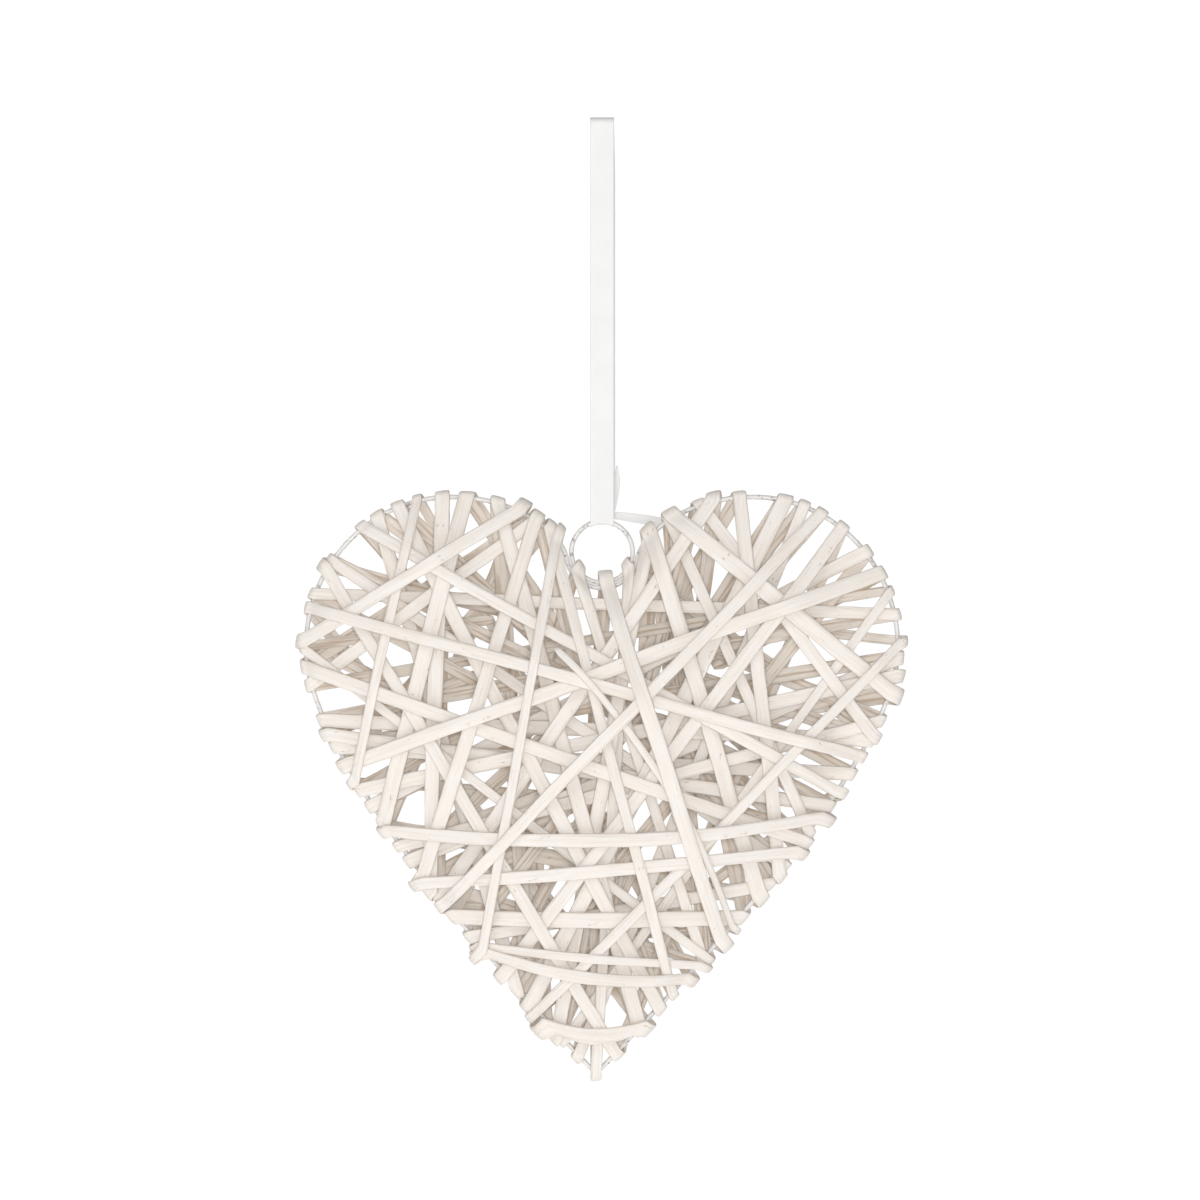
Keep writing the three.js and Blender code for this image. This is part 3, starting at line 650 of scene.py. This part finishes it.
def willow_strip(name, ways, bends, seed):
    """One strip: the split-willow section carried along its eased path, with a wandering width, roll and crown."""
    rng = np.random.default_rng(seed)
    middle, half, hint, free = strip_frame(ways, bends)
    strength = free[1:-1, None]
    middle, half, hint = [eased(rows, PATH_EASING, strength) for rows in (middle, half, hint)]
    step = np.linalg.norm(np.diff(middle, axis=0), axis=1)
    run = np.concatenate([[0], np.cumsum(step)])
    tangent = unit(np.gradient(middle, axis=0))
    outward = np.cross(tangent, half)
    outward = unit(outward) * np.sign((outward * hint).sum(1))[:, None]
    outward = unit(eased(outward, NORMAL_EASING))

    across, height, bare = strip_profile()
    sides = len(across)
    roll = ROLL * wander(rng, run, 70)
    left = 1 + SLOW_WIDTH * wander(rng, run, 40) + QUICK_WIDTH * wander(rng, run, 7)
    right = 1 + SLOW_WIDTH * wander(rng, run, 40) + QUICK_WIDTH * wander(rng, run, 7)
    crown = 1 + CROWN_CHANGE * wander(rng, run, 25)
    sway = SIDE_SWAY * wander(rng, run, 60)
    to_end = np.minimum(run, run[-1] - run)
    taper = np.clip(END_SHARE + to_end / END_REACH, 0, 1)
    spread = np.where(across[None] > 0, left[:, None], right[:, None]) * across[None] * taper[:, None]
    width = np.linalg.norm(half, axis=1)
    side = half / width[:, None]
    aside = spread * width[:, None] + sway[:, None] * np.clip(to_end / STEADY_END, 0, 1)[:, None]
    lift = height[None] * np.where(height > 0, crown[:, None], 1) + aside * np.tan(roll)[:, None]
    points = (
        middle[:, None] + side[:, None] * aside[..., None] + outward[:, None] * lift[..., None]).reshape(-1, 3)

    rings = len(middle)
    ends = np.stack([points[:sides].mean(0), points[-sides:].mean(0)])
    vertices = np.concatenate([points, ends])
    quads = tube_faces(rings, sides)
    first, last = end_caps(rings, sides, rings * sides, rings * sides + 1)
    around = np.cumsum(
        np.hypot(np.diff(across, append=across[0]) * STRIP_WIDTH / 2, np.diff(height, append=height[0])))
    u = np.repeat(run, sides) + rng.uniform(0, PATTERN_SHIFT)
    v = np.tile(around, rings) + 0 * u
    uv = np.concatenate([np.stack([u, v], -1), [[u[0], 0], [u[-1], 0]]]) * MM
    share = np.concatenate([np.tile(bare, rings), [1, 1]])
    tint = np.full(len(vertices), rng.uniform(0, 1))
    triangles = np.concatenate([quads[:, [0, 1, 2]], quads[:, [0, 2, 3]], first, last])
    obj = make_mesh(name, vertices, triangles, uv, {"bare": share, "tint": tint})
    face_outwards(obj)
    return obj


# Points of the finer wire: in the notch's half, in each curve, in the tip's bend and round the ring
NOTCH_STEPS = 24
FINE_STEPS = (24, 40, 70)
TIP_POINTS = 12
TIP_ROOM = 1.1
RING_POINTS = 96
WIRE_SIDES = 14
ROUGHNESS = 0.03


def wire_tube(name, line, seed):
    """Closed round wire along a plane line: circles of slightly wandering radius square to the line."""
    rng = np.random.default_rng(seed)
    along = unit(np.roll(line, -1, axis=0) - np.roll(line, 1, axis=0))
    out = np.stack([along[:, 1], -along[:, 0]], -1)
    angle = np.arange(WIRE_SIDES) * 2 * np.pi / WIRE_SIDES
    rough = WIRE / 2 * (1 + ROUGHNESS * rng.uniform(-1, 1, (len(line), 1)))
    away = rough * np.cos(angle)
    place = line[:, None] + out[:, None] * away[..., None]
    depth = rough * np.sin(angle)
    points = np.stack([place[..., 0], depth, place[..., 1]], -1).reshape(-1, 3)
    quads = tube_faces(len(line), WIRE_SIDES, closed=True)
    obj = make_mesh(name, points, np.concatenate([quads[:, [0, 1, 2]], quads[:, [0, 2, 3]]]))
    face_outwards(obj)
    return obj


def face_outwards(obj):
    """Flips a closed mesh whose signed volume is negative."""
    count = len(obj.data.polygons)
    corners = np.zeros(count * 3, np.int32)
    obj.data.polygons.foreach_get("vertices", corners)
    points = np.zeros(len(obj.data.vertices) * 3)
    obj.data.vertices.foreach_get("co", points)
    a, b, c = points.reshape(-1, 3)[corners.reshape(-1, 3)].transpose(1, 0, 2)
    if np.einsum("ij,ij->i", a, np.cross(b, c)).sum() < 0:
        obj.data.flip_normals()


def heart_wire_line():
    """The heart's closed wire: a round notch under the ring, both halves of the outline, a round bend at the tip."""
    straight = TIP_BEND * np.tan(TIP_ANGLE)
    halves = []
    for shift in (TIP_SHIFT, -TIP_SHIFT):
        line = np.concatenate([notch_arc(NOTCH_STEPS, False), right_wire(shift, FINE_STEPS)])
        halves.append(line[np.linalg.norm(line - line[-1], axis=1) > straight * TIP_ROOM])
    tip = right_wire(TIP_SHIFT)[-1]
    centre = np.array([tip[0], tip[1] + TIP_BEND / np.cos(TIP_ANGLE)])
    angles = -np.pi / 2 + TIP_ANGLE * np.linspace(1, -1, TIP_POINTS)
    bend = centre + TIP_BEND * np.stack([np.cos(angles), np.sin(angles)], -1)
    return np.concatenate([halves[0], bend, (halves[1] * [-1, 1])[::-1][:-1]])


def ring_line():
    """The ring's centre circle."""
    angles = np.linspace(0, 2 * np.pi, RING_POINTS, endpoint=False)
    return np.stack([RING_R * np.cos(angles), RING_Z + RING_R * np.sin(angles)], -1)


def shell(grid, thickness, closed=False):
    """Vertices and triangles of a sheet with a thickness: the grid moved both ways along its normals, rims closed."""
    rows, columns = grid.shape[:2]
    if closed:
        down = np.roll(grid, -1, axis=0) - np.roll(grid, 1, axis=0)
    else:
        down = np.gradient(grid, axis=0)
    normal = unit(np.cross(down, np.gradient(grid, axis=1)))
    vertices = np.concatenate([
        (grid + normal * thickness / 2).reshape(-1, 3), (grid - normal * thickness / 2).reshape(-1, 3)])
    i = np.arange(rows if closed else rows - 1)[:, None]
    j = np.arange(columns - 1)[None, :]
    k = (i + 1) % rows
    top = np.stack([i * columns + j, i * columns + j + 1, k * columns + j + 1, k * columns + j], -1).reshape(-1, 4)
    low = top[:, ::-1] + rows * columns
    rims = []
    for column, flip in ((0, False), (columns - 1, True)):
        a, b = (i * columns + column).ravel(), (k * columns + column).ravel()
        quad = np.stack([a, b, b + rows * columns, a + rows * columns], -1)
        rims.append(quad[:, ::-1] if flip else quad)
    if not closed:
        for row, flip in ((0, True), (rows - 1, False)):
            a = (row * columns + j).ravel()
            quad = np.stack([a, a + 1, a + 1 + rows * columns, a + rows * columns], -1)
            rims.append(quad[:, ::-1] if flip else quad)
    quads = np.concatenate([top, low, *rims])
    return vertices, np.concatenate([quads[:, [0, 1, 2]], quads[:, [0, 2, 3]]])


def ribbon_loop():
    """The ribbon's loop as a closed grid: over the hook, down, close round the ring's wire and up again.

    Near the ring its rows sink with the ring's own arc, R - sqrt(R^2 - x^2), which fades out higher up. The back
    strand lies a little to the side of the front one, and both ripple softly.
    """
    narrow = WIRE / 2 + (GAP + RIBBON_THICK) / 2
    wide = HOOK_RADIUS + RIBBON_THICK / 2
    bottom = -RING_TOP_DROP - WIRE / 2
    over = np.linspace(0, np.pi, 16)
    under = np.linspace(np.pi, 2 * np.pi, 12)
    down = np.linspace(0, 1, 90)[1:-1]
    level = -HOOK_RADIUS + (bottom + HOOK_RADIUS) * down
    spread = wide + (narrow - wide) * down
    y = np.concatenate([wide * np.cos(over), -spread, narrow * np.cos(under), spread[::-1]])
    z = np.concatenate([-HOOK_RADIUS + wide * np.sin(over), level, bottom + narrow * np.sin(under), level[::-1]])
    share = np.linspace(-1, 1, 17)
    x = share * RIBBON_WIDTH / 2
    grid = np.stack(np.broadcast_arrays(x[None], y[:, None], z[:, None]), -1).copy()
    free = np.clip(-z / 30, 0, 1) * np.clip((z - bottom) / 30, 0, 1)
    grid[..., 1] += 0.12 * np.sin(z / 23)[:, None] * np.sin(share * 2.2 + z[:, None] / 60) * free[:, None]
    grid[..., 0] += np.where(y > 0, 0.6, 0)[:, None] * free[:, None]
    near = np.clip((z - bottom) / RIBBON_DRAPE, 0, 1)
    fall = RING_R - np.sqrt(RING_R ** 2 - x ** 2)
    grid[..., 2] -= fall[None] * (1 - near * near * (3 - 2 * near))[:, None]
    return grid


def ribbon_knot():
    """The knot behind the front strand: a flat oval band round the back strand with soft pleats."""
    front = WIRE / 2
    back = WIRE / 2 + GAP + 2.5 * RIBBON_THICK
    angle = np.linspace(0, 2 * np.pi, 72, endpoint=False)
    x = (RIBBON_WIDTH / 2 - 0.3) * np.sign(np.cos(angle)) * np.abs(np.cos(angle)) ** 0.5
    y = (back - front) / 2 + (back + front) / 2 * np.sign(np.sin(angle)) * np.abs(np.sin(angle)) ** 0.6
    share = np.linspace(0, 1, 9)
    z = -RING_TOP_DROP + 2 * GAP + KNOT_HEIGHT * share
    grid = np.stack(np.broadcast_arrays(x[:, None], y[:, None], z[None]), -1).copy()
    pleat = 0.16 * np.sin(share[None] * 19 + np.cos(angle)[:, None] * 2.1)
    grid[..., 1] += pleat * np.clip(np.sin(angle), 0, 1)[:, None]
    grid[..., 2] -= 0.5 * share[None] * np.cos(angle)[:, None]
    return grid


def tail_grid(line, widths, lean, pleat):
    """A loose end of ribbon: straight rows across a line, each leaning out of the plane, with one soft pleat."""
    t = np.linspace(0, 1, 40)
    marks = np.linspace(0, 1, len(line))
    centre = np.stack([np.interp(t, marks, np.array(line)[:, k]) for k in range(3)], -1)
    centre = eased(centre, 14)
    width = np.interp(t, np.linspace(0, 1, len(widths)), widths) / 2
    tangent = unit(np.gradient(centre, axis=0))
    flat = unit(np.cross(tangent, [0, 1, 0]))
    tilt = np.interp(t, [0, 1], lean)[:, None]
    side = flat * np.cos(tilt) + np.array([0, 1, 0]) * np.sin(tilt)
    share = np.linspace(-1, 1, 9)
    grid = centre[:, None] + (side * width[:, None])[:, None] * share[None, :, None]
    grid[..., 1] += pleat * np.cos(share * np.pi)[None] * np.sin(t * 2.5)[:, None]
    return grid


def satin_ribbon():
    """The whole ribbon in one mesh: loop, knot, the tail that stands up and the one behind the right lobe."""
    behind = WIRE / 2 + GAP + 3 * RIBBON_THICK
    knot = -RING_TOP_DROP + GAP + KNOT_HEIGHT / 2
    edge = RIBBON_WIDTH / 2
    rest = Pass(-1, np.array([edge - 1, knot]), np.array([SIDE_TAIL_REACH, knot - SIDE_TAIL_DROP]), None, None,
                (KNOT_HEIGHT - 1, SIDE_TAIL_WIDTH), 0)
    find_needs(rest)
    finish_pass(rest, behind, None)
    lying = [(*rest.plan(t, np.float64(0)), rest.height(t)) for t in np.linspace(0, 1, 7)]
    up_tail = tail_grid(
        [(edge - 1.2, behind, knot), (edge - 0.2, behind + 0.3, knot + 6), (edge + 1.1, behind + 0.5, knot + 14),
         (edge + 1.7, behind + 0.3, knot + 23.5)],
        [3.0, 3.9, 4.3, 3.8, 0.8], (0.1, -0.35), 0.2)
    side_tail = tail_grid([(x, y, z - 1.2) for x, z, y in lying], [3.6, 4.6, 4.8, 4.4], (0.05, 0.15), 0.25)
    start, faces, points = 0, [], []
    for grid, closed in ((ribbon_loop(), True), (ribbon_knot(), True), (up_tail, False), (side_tail, False)):
        vertices, triangles = shell(grid, RIBBON_THICK, closed)
        a, b, c = vertices[triangles].transpose(1, 0, 2)
        if np.einsum("ij,ij->i", a, np.cross(b, c)).sum() < 0:
            triangles = triangles[:, ::-1]
        points.append(vertices)
        faces.append(triangles + start)
        start += len(vertices)
    return make_mesh("satin_ribbon", np.concatenate(points), np.concatenate(faces))


def node(tree, kind, inputs=None, **settings):
    """A shader node with its settings and input values or links."""
    made = tree.nodes.new(kind)
    for key, value in settings.items():
        setattr(made, key, value)
    for key, value in (inputs or {}).items():
        if isinstance(value, bpy.types.NodeSocket):
            tree.links.new(value, made.inputs[key])
        else:
            made.inputs[key].default_value = value
    return made


def ramp(tree, source, stops):
    """A colour ramp from a value, through stops of (position, colour)."""
    made = node(tree, "ShaderNodeValToRGB", {"Fac": source})
    elements = made.color_ramp.elements
    while len(elements) < len(stops):
        elements.new(0.5)
    for element, (position, colour) in zip(elements, stops):
        element.position = position
        element.color = (*colour, 1)
    return made.outputs["Color"]


def new_material(name):
    """An empty node material and its tree, with a Principled shader wired to the output."""
    material = bpy.data.materials.new(name)
    material.use_nodes = True
    tree = material.node_tree
    tree.nodes.clear()
    shader = tree.nodes.new("ShaderNodeBsdfPrincipled")
    output = tree.nodes.new("ShaderNodeOutputMaterial")
    tree.links.new(shader.outputs["BSDF"], output.inputs["Surface"])
    return material, tree, shader


def speckle_group():
    """Node group: a mask of scattered small worn spots from a vector, by size and amount."""
    group = bpy.data.node_groups.new("worn_spots", "ShaderNodeTree")
    group.interface.new_socket("Vector", in_out="INPUT", socket_type="NodeSocketVector")
    group.interface.new_socket("Scale", in_out="INPUT", socket_type="NodeSocketFloat")
    group.interface.new_socket("Amount", in_out="INPUT", socket_type="NodeSocketFloat")
    group.interface.new_socket("Mask", in_out="OUTPUT", socket_type="NodeSocketFloat")
    start = group.nodes.new("NodeGroupInput")
    end = group.nodes.new("NodeGroupOutput")
    noise = node(group, "ShaderNodeTexNoise", {
        "Vector": start.outputs["Vector"], "Scale": start.outputs["Scale"], "Detail": 3.0, "Roughness": 0.6})
    sharp = node(group, "ShaderNodeMath", {0: noise.outputs["Fac"], 1: start.outputs["Amount"]}, operation="SUBTRACT")
    mask = node(group, "ShaderNodeMath", {0: sharp.outputs[0], 1: 14.0}, operation="MULTIPLY", use_clamp=True)
    group.links.new(mask.outputs[0], end.inputs["Mask"])
    return group


WORN_SPOTS = speckle_group()


def worn_spots(tree, vector, scale, amount):
    """Places the worn-spot group and gives its mask."""
    made = tree.nodes.new("ShaderNodeGroup")
    made.node_tree = WORN_SPOTS
    tree.links.new(vector, made.inputs["Vector"])
    made.inputs["Scale"].default_value = scale
    made.inputs["Amount"].default_value = amount
    return made.outputs["Mask"]


def mixed(tree, factor, first, second):
    """Colour between two, by a factor; either may be a colour or a socket."""
    made = node(tree, "ShaderNodeMix", data_type="RGBA")
    for key, value in ((0, factor), (6, first), (7, second)):
        if isinstance(value, bpy.types.NodeSocket):
            tree.links.new(value, made.inputs[key])
        else:
            made.inputs[key].default_value = (*value, 1) if isinstance(value, tuple) else value
    return made.outputs[2]


def maths(tree, operation, first, second, clamp=False):
    """A Math node of two values or sockets."""
    made = node(tree, "ShaderNodeMath", {0: first, 1: second}, operation=operation, use_clamp=clamp)
    return made.outputs[0]


# Colours
PAINT = (0.84, 0.80, 0.76)
THIN_PAINT = (0.81, 0.735, 0.65)
BARE_WILLOW = (0.46, 0.34, 0.235)
WIRE_PAINT = (0.76, 0.745, 0.725)
BARE_WIRE = (0.42, 0.40, 0.39)
RUST = (0.26, 0.16, 0.10)


def streaks(tree, uv, along, across, detail=3.0):
    """Noise drawn out along the strip: features per metre along it and across it."""
    drawn = node(tree, "ShaderNodeMapping", {"Vector": uv, "Scale": (along, across, 1.0)}).outputs["Vector"]
    return node(tree, "ShaderNodeTexNoise", {"Vector": drawn, "Scale": 1.0, "Detail": detail}).outputs["Fac"]


def willow_material():
    """White paint brushed over split willow.

    Grain runs along the strip. The colour darkens towards the strip's edges. The paint is thin in patches, thinner
    still on the split side, where brown fibres show through it, and missed in specks.
    """
    material, tree, shader = new_material("painted_willow")
    uv = node(tree, "ShaderNodeUVMap", uv_map="UVMap").outputs["UV"]
    grain = streaks(tree, uv, 45.0, 1000.0, 5.0)
    fibres = streaks(tree, uv, 26.0, 620.0)
    brushed = streaks(tree, uv, 45.0, 150.0, 5.0)
    bare = node(tree, "ShaderNodeAttribute", attribute_name="bare").outputs["Fac"]
    tint = node(tree, "ShaderNodeAttribute", attribute_name="tint").outputs["Fac"]

    # Share of the thin paint's colour: full on the split side, darker towards the edges, more in brushed patches and
    # by tint
    thin = maths(tree, "MULTIPLY_ADD", bare, 0.5)
    thin.node.inputs[2].default_value = -0.02
    thin = maths(tree, "ADD", thin, maths(tree, "MULTIPLY", maths(tree, "SUBTRACT", brushed, 0.5), 1.3))
    thin = maths(tree, "ADD", thin, maths(tree, "MULTIPLY", tint, 0.22), clamp=True)
    colour = mixed(tree, thin, PAINT, THIN_PAINT)
    fine = ramp(tree, grain, [(0.40, (0.0, 0.0, 0.0)), (0.66, (1.0, 1.0, 1.0))])
    colour = mixed(tree, maths(tree, "MULTIPLY", fine, 0.5), colour, THIN_PAINT)
    dark = ramp(tree, fibres, [(0.49, (0.0, 0.0, 0.0)), (0.64, (1.0, 1.0, 1.0))])
    # Brown fibres show on the split side, more towards the edges, and faintly everywhere
    shows = maths(tree, "MULTIPLY_ADD", bare, 0.58)
    shows.node.inputs[2].default_value = 0.10
    colour = mixed(tree, maths(tree, "MULTIPLY", dark, shows), colour, BARE_WILLOW)
    drawn = node(tree, "ShaderNodeMapping", {"Vector": uv, "Scale": (130.0, 400.0, 1.0)}).outputs["Vector"]
    missed = worn_spots(tree, drawn, 1.0, 0.655)
    colour = mixed(tree, maths(tree, "MULTIPLY", missed, 0.75), colour, BARE_WILLOW)
    tree.links.new(colour, shader.inputs["Base Color"])

    rough = ramp(tree, brushed, [(0.3, (0.62,) * 3), (0.75, (0.85,) * 3)])
    tree.links.new(rough, shader.inputs["Roughness"])
    shader.inputs["Specular IOR Level"].default_value = 0.28
    relief = maths(tree, "ADD", maths(tree, "MULTIPLY", grain, 0.5), maths(tree, "MULTIPLY", fibres, 1.0))
    bump = node(tree, "ShaderNodeBump", {"Height": relief, "Strength": 0.8, "Distance": 0.0006})
    tree.links.new(bump.outputs["Normal"], shader.inputs["Normal"])
    return material


def wire_material():
    """White paint on wire, chipped to grey with a little rust."""
    material, tree, shader = new_material("painted_wire")
    place = node(tree, "ShaderNodeTexCoord").outputs["Object"]
    chips = worn_spots(tree, place, 260.0, 0.60)
    rust = worn_spots(tree, place, 380.0, 0.64)
    colour = mixed(tree, chips, WIRE_PAINT, BARE_WIRE)
    colour = mixed(tree, rust, colour, RUST)
    tree.links.new(colour, shader.inputs["Base Color"])
    shader.inputs["Roughness"].default_value = 0.42
    shader.inputs["Specular IOR Level"].default_value = 0.5
    bumps = node(tree, "ShaderNodeTexNoise", {"Vector": place, "Scale": 1500.0, "Detail": 3.0}).outputs["Fac"]
    bump = node(tree, "ShaderNodeBump", {"Height": bumps, "Strength": 0.35, "Distance": 0.0003})
    tree.links.new(bump.outputs["Normal"], shader.inputs["Normal"])
    return material


def satin_material():
    """White satin: fine ribs across the ribbon, a soft sheen."""
    material, tree, shader = new_material("white_satin")
    place = node(tree, "ShaderNodeTexCoord").outputs["Object"]
    weave = node(tree, "ShaderNodeTexWave", {"Vector": place, "Scale": 900.0, "Distortion": 0.4, "Detail": 1.0},
                 bands_direction="Z")
    folds = node(tree, "ShaderNodeTexNoise", {"Vector": place, "Scale": 60.0, "Detail": 2.0}).outputs["Fac"]
    colour = ramp(tree, folds, [(0.3, (0.80, 0.795, 0.79)), (0.7, (0.83, 0.825, 0.82))])
    tree.links.new(colour, shader.inputs["Base Color"])
    shader.inputs["Roughness"].default_value = 0.5
    shader.inputs["Specular IOR Level"].default_value = 0.12
    shader.inputs["Sheen Weight"].default_value = 0.1
    shader.inputs["Sheen Roughness"].default_value = 0.4
    bump = node(tree, "ShaderNodeBump", {"Height": weave.outputs["Fac"], "Strength": 0.2, "Distance": 0.0001})
    tree.links.new(bump.outputs["Normal"], shader.inputs["Normal"])
    return material


def floor_material():
    """Pale paper with a faint glow of its own that keeps it nearly white."""
    material, tree, shader = new_material("floor_paper")
    mottle = node(tree, "ShaderNodeTexNoise", {"Scale": 3.0, "Detail": 2.0}).outputs["Fac"]
    colour = ramp(tree, mottle, [(0.3, (0.93, 0.93, 0.93)), (0.7, (0.95, 0.95, 0.95))])
    tree.links.new(colour, shader.inputs["Base Color"])
    shader.inputs["Roughness"].default_value = 0.9
    shader.inputs["Emission Color"].default_value = (1, 1, 1, 1)
    shader.inputs["Emission Strength"].default_value = 0.4
    return material


# Camera at the photograph's place: level, long lens, square frame 600 mm wide at the wire's plane
FRAME_WIDTH = 0.600
CAMERA_AWAY = 2.4
camera_data = bpy.data.cameras.new("camera")
camera_data.lens = camera_data.sensor_width * CAMERA_AWAY / FRAME_WIDTH
camera_data.clip_end = 20
camera = bpy.data.objects.new("camera", camera_data)
camera.location = (-0.001, -CAMERA_AWAY, -0.241)
camera.rotation_euler = (np.pi / 2, 0, 0)
bpy.context.scene.collection.objects.link(camera)
bpy.context.scene.camera = camera

LIGHT_AIM = Vector((0, 0, -0.32))


def area_light(name, place, size, power):
    """A soft square light that faces the heart."""
    data = bpy.data.lights.new(name, "AREA")
    data.size = size
    data.energy = power
    light = bpy.data.objects.new(name, data)
    bpy.context.scene.collection.objects.link(light)
    light.location = place
    light.rotation_euler = (LIGHT_AIM - Vector(place)).to_track_quat("-Z", "Y").to_euler()


FLOOR_Z = -900
FLOOR_HALF = 2500


def floor():
    """A square pale floor below the heart."""
    corners = [(x * FLOOR_HALF, y * FLOOR_HALF, FLOOR_Z) for x, y in ((-1, -1), (1, -1), (1, 1), (-1, 1))]
    sheet = make_mesh("floor", corners, [[0, 1, 2, 3]])
    sheet.data.materials.append(floor_material())


floor()
area_light("front", (0.03, -2.5, -0.22), 0.4, 27)
area_light("key", (-0.5, -1.6, 0.9), 0.8, 7)
area_light("back", (-1.2, 2.3, 1.0), 1.2, 26)

# The studio's white surround lights the heart softly and shows as plain white behind it
SOFT_LIGHT = 0.28
SEEN_WHITE = 1.05
world = bpy.data.worlds.new("studio")
world.use_nodes = True
surround = world.node_tree
surround.nodes.clear()
soft = node(surround, "ShaderNodeBackground", {"Color": (1, 1, 1, 1), "Strength": SOFT_LIGHT})
white = node(surround, "ShaderNodeBackground", {"Color": (1, 1, 1, 1), "Strength": SEEN_WHITE})
seen = node(surround, "ShaderNodeLightPath").outputs["Is Camera Ray"]
both = node(surround, "ShaderNodeMixShader", {0: seen, 1: soft.outputs[0], 2: white.outputs[0]})
node(surround, "ShaderNodeOutputWorld", {"Surface": both.outputs[0]})
bpy.context.scene.world = world
bpy.context.scene.view_settings.view_transform = "Standard"

willow = willow_material()
wire = wire_material()
satin = satin_material()


def dress(piece, material, slot, *nodes):
    """Gives a piece its material and body, and hides the solids that it stands for."""
    piece.data.materials.append(material)
    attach(piece, "root")
    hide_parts(*nodes)


for number, row in enumerate(WINDINGS, 1):
    strip = willow_strip(f"split_willow_{number:02d}", *wind_strip(row), seed=number)
    dress(strip, willow, "willow", f"willow_strip_{number:02d}")

dress(wire_tube("bent_wire", heart_wire_line(), seed=71), wire, "wire", "heart_wire")
dress(wire_tube("wire_ring", ring_line(), seed=72), wire, "wire", "hanging_ring")

ribbon = satin_ribbon()
dress(ribbon, satin, "ribbon", "hanging_ribbon")
